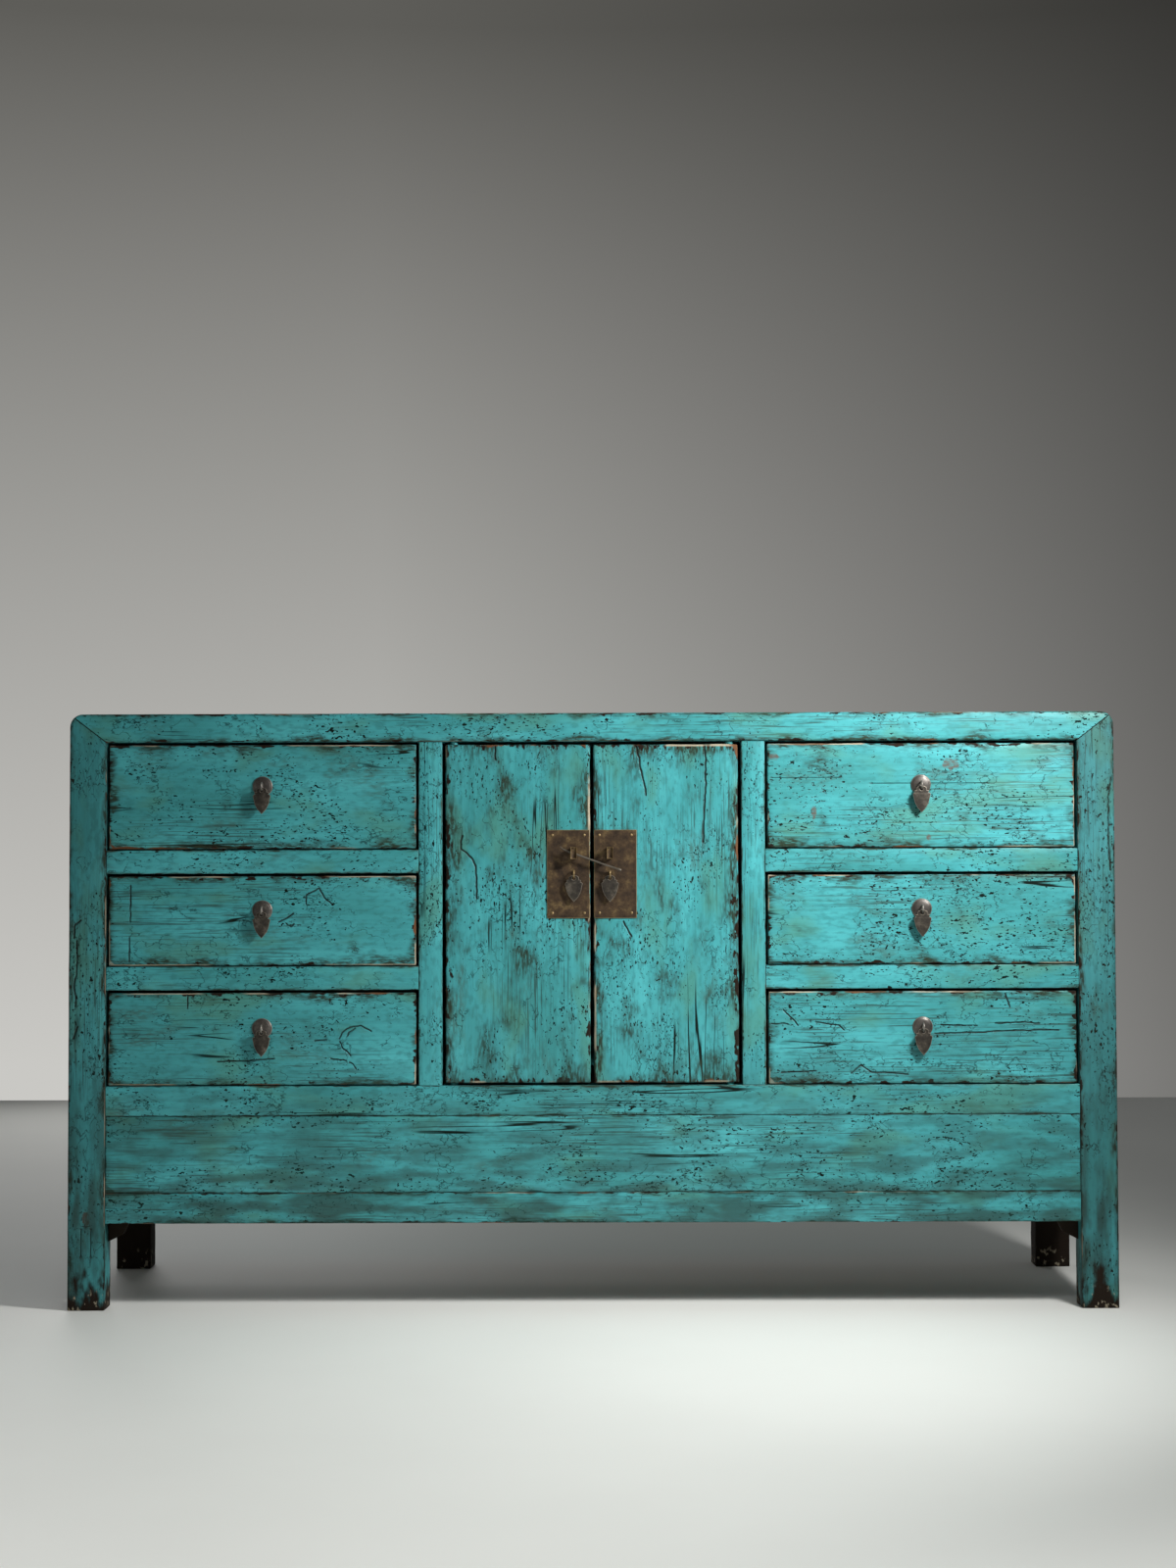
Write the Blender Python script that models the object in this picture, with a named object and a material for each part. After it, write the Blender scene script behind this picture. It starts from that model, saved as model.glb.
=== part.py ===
"""A lacquered sideboard of the northern Chinese kind.

A mitred frame of posts and rails holds floating panels, six drawers and a pair of plank doors that turn on
wooden pivots. Wrought roses, leaf drops, lock plates and a lock pin are the hardware. Metres, +Z up,
the front towards -Y, the origin on the floor under the middle of the whole object's box.
"""

import math

import bmesh
import bpy
from mathutils import Matrix, Vector

# Frame members
POST_WIDTH = 0.057
POST_DEPTH = 0.045
STILE_WIDTH = 0.036
TOP_RAIL_HEIGHT = 0.044
DRAWER_RAIL_HEIGHT = 0.036
WAIST_RAIL_HEIGHT = 0.045
BOTTOM_RAIL_HEIGHT = 0.046
REAR_RAIL_DEPTH = 0.030
REAR_RAIL_RECESS = 0.005
CASE_DEPTH = 0.420

# Openings and the height of the feet
DRAWER_OPENING_WIDTH = 0.478
DOOR_OPENING_WIDTH = 0.458
TOP_OPENING_HEIGHT = 0.165
MIDDLE_OPENING_HEIGHT = 0.142
BOTTOM_OPENING_HEIGHT = 0.146
APRON_HEIGHT = 0.117
FOOT_HEIGHT = 0.131

# Roundings
CORNER_RADIUS = 0.020
OUTER_ARRIS = 0.004
INNER_ARRIS = 0.0015

# Joinery
FIT = 0.0003
TENON_LENGTH = 0.020
TENON_SHOULDER = 0.011
REAR_TENON_SHOULDER = 0.008
TONGUE = 0.008
TONGUE_THICKNESS = 0.006

# Boards
PANEL_THICKNESS = 0.014
PANEL_RECESS = 0.006
APRON_RECESS = 0.001
TOP_THICKNESS = 0.018
FLOOR_THICKNESS = 0.014
PARTITION_THICKNESS = 0.016

# Drawers and their runners
DRAWER_FRONT_THICKNESS = 0.018
DRAWER_RECESS = 0.001
DRAWER_SIDE_GAP = 0.004
DRAWER_TOP_GAP = 0.004
DRAWER_BOTTOM_GAP = 0.0015
BOX_WALL = 0.010
BOX_BOTTOM = 0.006
BOX_BOTTOM_RAISE = 0.006
BOX_TOP_GAP = 0.014
BOX_BACK_GAP = 0.020
BOX_LAP = 0.008
RUNNER_WIDTH = 0.025
RUNNER_HEIGHT = 0.020

# Doors
DOOR_THICKNESS = 0.020
DOOR_RECESS = 0.001
DOOR_SIDE_GAP = 0.005
DOOR_MEETING_GAP = 0.005
DOOR_TOP_GAP = 0.0045
DOOR_BOTTOM_GAP = 0.0035
DOOR_ARRIS = 0.003
PIVOT_RADIUS = 0.006
PIVOT_INSET = 0.013
PIVOT_REACH = 0.012

# Spandrels under the front bottom rail
SPANDREL_WIDTH = 0.040
SPANDREL_HEIGHT = 0.033
SPANDREL_THICKNESS = 0.016
SPANDREL_SETBACK = 0.024
SPANDREL_HOLLOW = 0.3

# Pulls
ROSE_RADIUS = 0.0155
ROSE_DOME = 0.004
ROSE_RIM = 0.0003
ROSE_RAISE = 0.016
RING_RADIUS = 0.0055
RING_WIRE = 0.0013
RING_LIFT = 0.0005
DROP_THICKNESS = 0.002
DROP_LENGTH = 0.043
DROP_WIDTH = 0.026
DROP_HOLE = 0.0028
DROP_BRIDGE = 0.0014
# Right half of a drop's outline: shares of its half width and of its length, from the top, and the bend there
DROP_OUTLINE = (
    (0.36, 0.0, "AUTO"),
    (0.58, 0.10, "AUTO"),
    (0.62, 0.20, "VECTOR"),
    (0.92, 0.25, "AUTO"),
    (1.0, 0.40, "AUTO"),
    (0.62, 0.72, "AUTO"),
)

# Lock plates and the pin
PLATE_WIDTH = 0.065
PLATE_HEIGHT = 0.135
PLATE_THICKNESS = 0.0015
PLATE_EDGE_GAP = 0.001
PLATE_DROP_FROM_TOP = 0.203
PLATE_FITTING_OFFSET = 0.0084
RIVET_INSET = 0.008
RIVET_RADIUS = 0.0022
RIVET_HEIGHT = 0.0012
STAPLE_RAISE = 0.032
STAPLE_WIDTH = 0.009
STAPLE_HEIGHT = 0.018
STAPLE_REACH = 0.020
EYE_REACH = 0.011
PIN_RADIUS = 0.002
PIN_TILT = math.radians(19.6)
PIN_LENGTH = 0.077
PIN_TAIL = 0.024
PIN_TIP_RADIUS = 0.0024

# Levels up the front, from the floor
BOTTOM_RAIL_TOP = FOOT_HEIGHT + BOTTOM_RAIL_HEIGHT
WAIST_FOOT = BOTTOM_RAIL_TOP + APRON_HEIGHT
WAIST_TOP = WAIST_FOOT + WAIST_RAIL_HEIGHT
LOWER_RAIL_FOOT = WAIST_TOP + BOTTOM_OPENING_HEIGHT
LOWER_RAIL_TOP = LOWER_RAIL_FOOT + DRAWER_RAIL_HEIGHT
UPPER_RAIL_FOOT = LOWER_RAIL_TOP + MIDDLE_OPENING_HEIGHT
UPPER_RAIL_TOP = UPPER_RAIL_FOOT + DRAWER_RAIL_HEIGHT
TOP_RAIL_FOOT = UPPER_RAIL_TOP + TOP_OPENING_HEIGHT
HEIGHT = TOP_RAIL_FOOT + TOP_RAIL_HEIGHT

# Places across the front, from the middle
DOOR_HALF = DOOR_OPENING_WIDTH / 2
STILE_OUTER = DOOR_HALF + STILE_WIDTH
POST_INNER = STILE_OUTER + DRAWER_OPENING_WIDTH
HALF_WIDTH = POST_INNER + POST_WIDTH

# Places from front to back
HARDWARE_PROUD = PLATE_THICKNESS + STAPLE_REACH - DOOR_RECESS
FRONT = -(CASE_DEPTH - HARDWARE_PROUD) / 2
FRAME_BACK = FRONT + POST_DEPTH
BACK = FRONT + CASE_DEPTH
BACK_PANEL_FACE = BACK - PANEL_RECESS - PANEL_THICKNESS
DRAWER_FACE = FRONT + DRAWER_RECESS
DOOR_FACE = FRONT + DOOR_RECESS
PLATE_FACE = DOOR_FACE - PLATE_THICKNESS

OVERSIZE = 0.010
SIDES = {"left": -1, "right": 1}
FACES = {"front": -1, "back": 1}
DRAWER_ROWS = {
    "top": (UPPER_RAIL_TOP, TOP_RAIL_FOOT),
    "middle": (LOWER_RAIL_TOP, UPPER_RAIL_FOOT),
    "bottom": (WAIST_TOP, LOWER_RAIL_FOOT),
}


def clear_scene():
    for obj in list(bpy.data.objects):
        bpy.data.objects.remove(obj, do_unlink=True)


def make_material(name, colour, roughness, metallic=0.0):
    made = bpy.data.materials.new(name)
    made.use_nodes = True
    shader = made.node_tree.nodes["Principled BSDF"]
    shader.inputs["Base Color"].default_value = (*colour, 1.0)
    shader.inputs["Roughness"].default_value = roughness
    shader.inputs["Metallic"].default_value = metallic
    made.diffuse_color = (*colour, 1.0)
    return made


def add_empty(name, place):
    made = bpy.data.objects.new(name, None)
    made.empty_display_size = 0.02
    made.location = place
    bpy.context.collection.objects.link(made)
    return made


def add_object(name, bm, finish, origin=(0.0, 0.0, 0.0), parent=None):
    """Makes an object from a mesh in world places, with its origin set, carried by its parent empty."""
    bmesh.ops.recalc_face_normals(bm, faces=bm.faces)
    bmesh.ops.translate(bm, verts=bm.verts, vec=-Vector(origin))
    mesh = bpy.data.meshes.new(name)
    bm.to_mesh(mesh)
    bm.free()
    made = bpy.data.objects.new(name, mesh)
    bpy.context.collection.objects.link(made)
    if finish is not None:
        mesh.materials.append(finish)
    made.location = Vector(origin)
    if parent is not None:
        made.parent = parent
        made.location = Vector(origin) - parent.location
    return made


def add_cutter(name, bm):
    made = add_object(name, bm, None)
    made.hide_render = True
    made.display_type = "WIRE"
    return made


def combine(obj, other, operation):
    step = obj.modifiers.new(f"{operation.lower()}_{other.name}", "BOOLEAN")
    step.operation = operation
    step.solver = "EXACT"
    step.object = other


def box_mesh(low, high):
    bm = bmesh.new()
    bmesh.ops.create_cube(bm, size=1.0)
    for vert in bm.verts:
        vert.co = Vector(a + (c + 0.5) * (b - a) for a, b, c in zip(low, high, vert.co))
    return bm


def cut_box(obj, name, low, high):
    combine(obj, add_cutter(f"cut_{name}", box_mesh(low, high)), "DIFFERENCE")


def grown(low, high, by=FIT):
    return [a - by for a in low], [b + by for b in high]


def edges_along(bm, axis):
    """The mesh's edges that run along one axis."""
    found = []
    for edge in bm.edges:
        run = edge.verts[1].co - edge.verts[0].co
        if abs(run[axis]) > 0.999 * run.length:
            found.append(edge)
    return found


def ease(bm, edges, width, segments=1):
    bmesh.ops.bevel(
        bm, geom=edges, offset=width, offset_type="OFFSET", segments=segments, profile=0.5, affect="EDGES"
    )


def stepped_mesh(axis, stations):
    """A bar of rectangular sections along an axis, each station a place and its section's two corners."""
    across = [i for i in range(3) if i != axis]
    bm = bmesh.new()
    rings = []
    for place, low, high in stations:
        ring = []
        for pick in ((0, 0), (1, 0), (1, 1), (0, 1)):
            co = [0.0, 0.0, 0.0]
            co[axis] = place
            for i, which in zip(across, pick):
                co[i] = (low, high)[which][i]
            ring.append(bm.verts.new(co))
        rings.append(ring)
    for first, second in zip(rings, rings[1:]):
        for i in range(4):
            bm.faces.new((first[i - 1], first[i], second[i], second[i - 1]))
    bm.faces.new(rings[0])
    bm.faces.new(rings[-1])
    bmesh.ops.recalc_face_normals(bm, faces=bm.faces)
    return bm


def add_rail(name, axis, low, high, shoulder, finish, ends):
    """A rail with a tenon at each end, and the mortises for them in the two members that it joins.

    low and high are the opening that the rail spans and its own section.
    """
    slim_low = [a + shoulder for a in low]
    slim_high = [b - shoulder for b in high]
    near, far = low[axis], high[axis]
    stations = (
        (near - TENON_LENGTH, slim_low, slim_high),
        (near + FIT, slim_low, slim_high),
        (near + FIT, low, high),
        (far - FIT, low, high),
        (far - FIT, slim_low, slim_high),
        (far + TENON_LENGTH, slim_low, slim_high),
    )
    bm = stepped_mesh(axis, stations)
    middle = (near + far) / 2
    body = [
        edge
        for edge in edges_along(bm, axis)
        if min(v.co[axis] for v in edge.verts) < middle < max(v.co[axis] for v in edge.verts)
    ]
    ease(bm, body, INNER_ARRIS)
    made = add_object(name, bm, finish)
    for which, member in zip(("near", "far"), ends):
        tenon_low, tenon_high = list(slim_low), list(slim_high)
        tenon_low[axis] = near - TENON_LENGTH if which == "near" else far
        tenon_high[axis] = near if which == "near" else far + TENON_LENGTH
        cut_box(member, f"mortise_{name}_{which}", *grown(tenon_low, tenon_high))
    return made


def add_panel(name, axis, low, high, members, finish):
    """A board in grooves: a tongue round its four edges sits in the members that frame it."""
    across = [i for i in range(3) if i != axis]
    field_low, field_high = list(low), list(high)
    wide_low, wide_high = list(low), list(high)
    for i in across:
        field_low[i], field_high[i] = low[i] + FIT, high[i] - FIT
        wide_low[i], wide_high[i] = low[i] - TONGUE, high[i] + TONGUE
    middle = (low[axis] + high[axis]) / 2
    wide_low[axis] = middle - TONGUE_THICKNESS / 2
    wide_high[axis] = middle + TONGUE_THICKNESS / 2
    stations = (
        (low[axis], field_low, field_high),
        (wide_low[axis], field_low, field_high),
        (wide_low[axis], wide_low, wide_high),
        (wide_high[axis], wide_low, wide_high),
        (wide_high[axis], field_low, field_high),
        (high[axis], field_low, field_high),
    )
    made = add_object(name, stepped_mesh(axis, stations), finish)
    groove = add_cutter(f"cut_groove_{name}", box_mesh(*grown(wide_low, wide_high)))
    for member in members:
        combine(member, groove, "DIFFERENCE")
    return made


def envelope_cutter():
    """The outside of the whole case: round top corners and eased arrises, which posts and top rails share."""
    bm = bmesh.new()
    steps = 6
    outline = [(-HALF_WIDTH, 0.0)]
    for side, turn_from in ((-1, math.pi), (1, math.pi / 2)):
        centre = (side * (HALF_WIDTH - CORNER_RADIUS), HEIGHT - CORNER_RADIUS)
        for i in range(steps + 1):
            angle = turn_from - math.pi / 2 * i / steps
            x = centre[0] + CORNER_RADIUS * math.cos(angle)
            z = centre[1] + CORNER_RADIUS * math.sin(angle)
            outline.append((x, z))
    outline.append((HALF_WIDTH, 0.0))
    face = bm.faces.new([bm.verts.new((x, FRONT, z)) for x, z in outline])
    pushed = bmesh.ops.extrude_face_region(bm, geom=[face])["geom"]
    moved = [item for item in pushed if isinstance(item, bmesh.types.BMVert)]
    bmesh.ops.translate(bm, verts=moved, vec=(0.0, CASE_DEPTH, 0.0))
    bmesh.ops.recalc_face_normals(bm, faces=bm.faces)
    depth_edges = set(edges_along(bm, 1))
    ease(bm, [edge for edge in bm.edges if edge not in depth_edges], OUTER_ARRIS, 2)
    return add_cutter("envelope", bm)


def mitre(bm, corner, keep, others):
    """Cuts a member's end on the planes where it meets the other two members of a corner."""
    for other in others:
        normal = (keep - other).normalized()
        cut = bmesh.ops.bisect_plane(
            bm,
            geom=[*bm.verts, *bm.edges, *bm.faces],
            plane_co=corner + normal * FIT / 2,
            plane_no=normal,
            clear_inner=True,
        )
        rim = [item for item in cut["geom_cut"] if isinstance(item, bmesh.types.BMEdge)]
        bmesh.ops.holes_fill(bm, edges=rim)


def corner_of(side, face):
    """A top corner of the case, and the inward run of each of its three members over its own width."""
    corner = Vector((side * HALF_WIDTH, FRONT if face < 0 else BACK, HEIGHT))
    along_x = Vector((-side / POST_WIDTH, 0.0, 0.0))
    along_y = Vector((0.0, -face / POST_DEPTH, 0.0))
    down = Vector((0.0, 0.0, -1 / TOP_RAIL_HEIGHT))
    return corner, along_x, along_y, down


def spread(one, other):
    return min(one, other), max(one, other)


def add_posts(envelope, finish):
    """Four legs that run up to the top, each mitred three ways at its corner."""
    made = {}
    for face_name, face in FACES.items():
        outer_y = (FRONT if face < 0 else BACK) + face * OVERSIZE
        inner_y = FRAME_BACK if face < 0 else BACK - POST_DEPTH
        for side_name, side in SIDES.items():
            x_low, x_high = spread(side * (HALF_WIDTH + OVERSIZE), side * POST_INNER)
            y_low, y_high = spread(outer_y, inner_y)
            bm = box_mesh((x_low, y_low, -OVERSIZE), (x_high, y_high, HEIGHT + OVERSIZE))
            corner, along_x, along_y, down = corner_of(side, face)
            mitre(bm, corner, down, (along_x, along_y))
            name = f"leg_{face_name}_{side_name}"
            made[face_name, side_name] = add_object(name, bm, finish)
            combine(made[face_name, side_name], envelope, "INTERSECT")
    return made


def add_top_rails(envelope, finish):
    """The four members of the top frame."""
    made = {}
    for name, face in FACES.items():
        y_low, y_high = spread(
            (FRONT if face < 0 else BACK) + face * OVERSIZE, FRAME_BACK if face < 0 else BACK - POST_DEPTH
        )
        reach = HALF_WIDTH + OVERSIZE
        bm = box_mesh((-reach, y_low, TOP_RAIL_FOOT), (reach, y_high, HEIGHT + OVERSIZE))
        for side in SIDES.values():
            corner, along_x, along_y, down = corner_of(side, face)
            mitre(bm, corner, along_x, (along_y, down))
        made[name] = add_object(f"top_rail_{name}", bm, finish)
    for name, side in SIDES.items():
        x_low, x_high = spread(side * (HALF_WIDTH + OVERSIZE), side * POST_INNER)
        bm = box_mesh((x_low, FRONT - OVERSIZE, TOP_RAIL_FOOT), (x_high, BACK + OVERSIZE, HEIGHT + OVERSIZE))
        for face in FACES.values():
            corner, along_x, along_y, down = corner_of(side, face)
            mitre(bm, corner, along_y, (along_x, down))
        made[name] = add_object(f"top_rail_{name}", bm, finish)
    for rail in made.values():
        combine(rail, envelope, "INTERSECT")
    return made


def add_front_frame(posts, tops, finish):
    """The waist and bottom rails, the two stiles beside the doors and the apron panel."""
    left, right = posts["front", "left"], posts["front", "right"]
    waist = add_rail(
        "waist_rail",
        0,
        (-POST_INNER, FRONT, WAIST_FOOT),
        (POST_INNER, FRAME_BACK, WAIST_TOP),
        TENON_SHOULDER,
        finish,
        (left, right),
    )
    bottom = add_rail(
        "bottom_rail_front",
        0,
        (-POST_INNER, FRONT, FOOT_HEIGHT),
        (POST_INNER, FRAME_BACK, BOTTOM_RAIL_TOP),
        TENON_SHOULDER,
        finish,
        (left, right),
    )
    stiles = {}
    for name, side in SIDES.items():
        x_low, x_high = spread(side * DOOR_HALF, side * STILE_OUTER)
        stiles[name] = add_rail(
            f"stile_{name}",
            2,
            (x_low, FRONT, WAIST_TOP),
            (x_high, FRAME_BACK, TOP_RAIL_FOOT),
            TENON_SHOULDER,
            finish,
            (waist, tops["front"]),
        )
    panel_front = FRONT + APRON_RECESS
    add_panel(
        "apron_panel",
        1,
        (-POST_INNER, panel_front, BOTTOM_RAIL_TOP),
        (POST_INNER, panel_front + PANEL_THICKNESS, WAIST_FOOT),
        (left, right, waist, bottom),
        finish,
    )
    return waist, stiles


def add_drawer_rails(posts, stiles, finish):
    """The rails between the drawers, each with the two runners behind it that carry the drawer above."""
    for level, foot in (("lower", LOWER_RAIL_FOOT), ("upper", UPPER_RAIL_FOOT)):
        top = foot + DRAWER_RAIL_HEIGHT
        for side_name, side in SIDES.items():
            x_low, x_high = spread(side * STILE_OUTER, side * POST_INNER)
            ends = (posts["front", side_name], stiles[side_name])
            name = f"drawer_rail_{side_name}_{level}"
            made = add_rail(
                name,
                0,
                (x_low, FRONT, foot),
                (x_high, FRAME_BACK, top),
                TENON_SHOULDER,
                finish,
                ends if side < 0 else ends[::-1],
            )
            for place, runner_low in (("near", x_low + FIT), ("far", x_high - FIT - RUNNER_WIDTH)):
                runner = box_mesh(
                    (runner_low, FRAME_BACK - TONGUE, top - RUNNER_HEIGHT),
                    (runner_low + RUNNER_WIDTH, BACK_PANEL_FACE - FIT, top),
                )
                combine(made, add_cutter(f"runner_{name}_{place}", runner), "UNION")


def add_shell(posts, tops, finish):
    """The rails and panels of the sides and the back, and the top board."""
    rear_low, rear_high = BACK - REAR_RAIL_RECESS - REAR_RAIL_DEPTH, BACK - REAR_RAIL_RECESS
    back_rail = add_rail(
        "bottom_rail_back",
        0,
        (-POST_INNER, rear_low, FOOT_HEIGHT),
        (POST_INNER, rear_high, BOTTOM_RAIL_TOP),
        REAR_TENON_SHOULDER,
        finish,
        (posts["back", "left"], posts["back", "right"]),
    )
    for name, side in SIDES.items():
        outer = side * (HALF_WIDTH - REAR_RAIL_RECESS)
        x_low, x_high = spread(outer, outer - side * REAR_RAIL_DEPTH)
        rail = add_rail(
            f"bottom_rail_{name}",
            1,
            (x_low, FRAME_BACK, FOOT_HEIGHT),
            (x_high, BACK - POST_DEPTH, BOTTOM_RAIL_TOP),
            REAR_TENON_SHOULDER,
            finish,
            (posts["front", name], posts["back", name]),
        )
        outer = side * (HALF_WIDTH - PANEL_RECESS)
        x_low, x_high = spread(outer, outer - side * PANEL_THICKNESS)
        add_panel(
            f"side_panel_{name}",
            0,
            (x_low, FRAME_BACK, BOTTOM_RAIL_TOP),
            (x_high, BACK - POST_DEPTH, TOP_RAIL_FOOT),
            (posts["front", name], posts["back", name], tops[name], rail),
            finish,
        )
    back_panel = add_panel(
        "back_panel",
        1,
        (-POST_INNER, BACK_PANEL_FACE, BOTTOM_RAIL_TOP),
        (POST_INNER, BACK - PANEL_RECESS, TOP_RAIL_FOOT),
        (posts["back", "left"], posts["back", "right"], tops["back"], back_rail),
        finish,
    )
    add_panel(
        "top_panel",
        2,
        (-POST_INNER, FRAME_BACK, HEIGHT - TOP_THICKNESS),
        (POST_INNER, BACK - POST_DEPTH, HEIGHT),
        tops.values(),
        finish,
    )
    return back_panel


def add_inside(waist, back_panel, finish):
    """The floor, in grooves of the waist rail and the back panel, and the partitions that stand on it."""
    between = POST_INNER - FIT
    reach = HALF_WIDTH - PANEL_RECESS - PANEL_THICKNESS - FIT
    low = [-between, FRAME_BACK + FIT, WAIST_TOP - FLOOR_THICKNESS]
    high = [between, BACK_PANEL_FACE - FIT, WAIST_TOP]
    wide_low, wide_high = [-reach, *low[1:]], [reach, *high[1:]]
    slim_low, slim_high = list(low), list(high)
    slim_low[2] += (FLOOR_THICKNESS - TONGUE_THICKNESS) / 2
    slim_high[2] -= (FLOOR_THICKNESS - TONGUE_THICKNESS) / 2
    front_tip = FRAME_BACK - TONGUE
    back_tip = BACK_PANEL_FACE + (PANEL_THICKNESS - TONGUE_THICKNESS) / 2
    rear_posts = BACK - POST_DEPTH - FIT
    stations = (
        (front_tip, slim_low, slim_high),
        (low[1], slim_low, slim_high),
        (low[1], wide_low, wide_high),
        (rear_posts, wide_low, wide_high),
        (rear_posts, low, high),
        (high[1], low, high),
        (high[1], slim_low, slim_high),
        (back_tip, slim_low, slim_high),
    )
    add_object("floor_board", stepped_mesh(1, stations), finish)
    slim_low[1], slim_high[1] = front_tip, back_tip
    groove = add_cutter("cut_groove_floor", box_mesh(*grown(slim_low, slim_high)))
    for member in (waist, back_panel):
        combine(member, groove, "DIFFERENCE")
    for name, side in SIDES.items():
        middle = side * (DOOR_HALF + STILE_WIDTH / 2)
        bm = box_mesh(
            (middle - PARTITION_THICKNESS / 2, FRAME_BACK + FIT, WAIST_TOP + FIT),
            (middle + PARTITION_THICKNESS / 2, BACK_PANEL_FACE - FIT, HEIGHT - TOP_THICKNESS - FIT),
        )
        partition = add_object(f"partition_{name}", bm, finish)
        cut_box(
            partition,
            f"notch_{name}",
            (middle - PARTITION_THICKNESS, BACK - POST_DEPTH - FIT, TOP_RAIL_FOOT - FIT),
            (middle + PARTITION_THICKNESS, BACK, HEIGHT),
        )


def add_spandrels(finish):
    """The small brackets in the corners between the front legs and the bottom rail, hollowed by an arc."""
    steps = 6
    for name, side in SIDES.items():
        corner = Vector((side * (POST_INNER - FIT), FRONT + SPANDREL_SETBACK, FOOT_HEIGHT - FIT))
        outline = [(0.0, 0.0)]
        for i in range(steps + 1):
            angle = math.pi / 2 * i / steps
            hollow = SPANDREL_HOLLOW * math.sin(2 * angle)
            across = SPANDREL_WIDTH * (math.sin(angle) ** 2 * (1 - hollow))
            down = SPANDREL_HEIGHT * (math.cos(angle) ** 2 * (1 - hollow))
            outline.append((across, down))
        bm = bmesh.new()
        verts = [bm.verts.new(corner + Vector((-side * x, 0.0, -z))) for x, z in outline]
        face = bm.faces.new(verts)
        pushed = bmesh.ops.extrude_face_region(bm, geom=[face])["geom"]
        moved = [item for item in pushed if isinstance(item, bmesh.types.BMVert)]
        bmesh.ops.translate(bm, verts=moved, vec=(0.0, SPANDREL_THICKNESS, 0.0))
        add_object(f"spandrel_{name}", bm, finish)


def turned_mesh(profile, segments):
    """A solid turned round +Z from (radius, height) pairs, the ends on the axis."""
    bm = bmesh.new()
    rings = []
    for radius, height in profile[1:-1]:
        angles = [2 * math.pi * i / segments for i in range(segments)]
        rings.append([bm.verts.new((radius * math.cos(a), radius * math.sin(a), height)) for a in angles])
    for first, second in zip(rings, rings[1:]):
        for i in range(segments):
            bm.faces.new((first[i - 1], first[i], second[i], second[i - 1]))
    for (_, height), ring in ((profile[0], rings[0]), (profile[-1], rings[-1])):
        tip = bm.verts.new((0.0, 0.0, height))
        for i in range(segments):
            bm.faces.new((ring[i - 1], ring[i], tip))
    bmesh.ops.recalc_face_normals(bm, faces=bm.faces)
    return bm


def place_mesh(bm, place, turn):
    bmesh.ops.transform(bm, matrix=Matrix.Translation(place) @ turn.to_4x4(), verts=bm.verts)
    return bm


def ring_mesh(centre):
    """A wire ring that stands out from the front, in the plane across which a drop swings."""
    around, section = 14, 6
    bm = bmesh.new()
    rings = []
    for i in range(around):
        turn = 2 * math.pi * i / around
        out = Vector((0.0, math.cos(turn), math.sin(turn)))
        ring = []
        for j in range(section):
            angle = 2 * math.pi * (j + 0.5) / section
            offset = out * math.cos(angle) + Vector((math.sin(angle), 0.0, 0.0))
            ring.append(bm.verts.new(Vector(centre) + out * RING_RADIUS + offset * RING_WIRE))
        rings.append(ring)
    for i in range(around):
        for j in range(section):
            bm.faces.new((rings[i - 1][j - 1], rings[i - 1][j], rings[i][j], rings[i][j - 1]))
    bmesh.ops.recalc_face_normals(bm, faces=bm.faces)
    return bm


def add_drop(name, centre, finish, parent):
    """A leaf pendant that hangs on its ring: two lobes at the hole, stepped shoulders and a pointed tip.

    Its origin is the ring's centre, so it slides round the ring as it swings.
    """
    half = DROP_WIDTH / 2
    hole_top = FIT + RING_WIRE - RING_RADIUS
    top = hole_top + DROP_BRIDGE
    body = DROP_LENGTH + top
    right = [(half * across, top - body * down, kind) for across, down, kind in DROP_OUTLINE]
    left = [(-x, y, kind) for x, y, kind in reversed(right)]
    curve = bpy.data.curves.new(name, "CURVE")
    curve.dimensions = "2D"
    curve.fill_mode = "BOTH"
    curve.extrude = DROP_THICKNESS / 2
    curve.resolution_u = 3
    hole = [(0.0, DROP_HOLE), (DROP_HOLE, 0.0), (0.0, -DROP_HOLE), (-DROP_HOLE, 0.0)]
    splines = (
        [*right, (0.0, -DROP_LENGTH, "VECTOR"), *left],
        [(x, y + hole_top - DROP_HOLE, "AUTO") for x, y in hole],
    )
    for points in splines:
        spline = curve.splines.new("BEZIER")
        spline.use_cyclic_u = True
        spline.bezier_points.add(len(points) - 1)
        for point, (x, y, kind) in zip(spline.bezier_points, points):
            point.co = (x, y, 0.0)
            point.handle_left_type = kind
            point.handle_right_type = kind
    curve.materials.append(finish)
    made = bpy.data.objects.new(name, curve)
    bpy.context.collection.objects.link(made)
    made.parent = parent
    made.location = Vector(centre) - parent.location
    made.rotation_euler = (math.pi / 2, 0.0, 0.0)
    return made


def add_rose(name, face, x, z, finish, parent):
    """A domed round plate with the ring of its cotter, and the ring's centre."""
    segments, rings = 20, 4
    profile = [(0.0, -ROSE_DOME - FIT)]
    for i in range(1, rings):
        angle = math.pi / 2 * i / rings
        profile.append((ROSE_RADIUS * math.sin(angle), -ROSE_DOME * math.cos(angle) ** 2 - FIT))
    profile += [(ROSE_RADIUS, -ROSE_RIM - FIT), (ROSE_RADIUS, -FIT), (0.0, -FIT)]
    turn = Matrix.Rotation(-math.pi / 2, 3, "X")
    bm = place_mesh(turned_mesh(profile, segments), (x, face, z), turn)
    made = add_object(name, bm, finish, (x, face, z), parent)
    centre = (x, face - ROSE_DOME - RING_RADIUS - RING_LIFT, z)
    combine(made, add_cutter(f"ring_{name}", ring_mesh(centre)), "UNION")
    return centre


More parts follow.
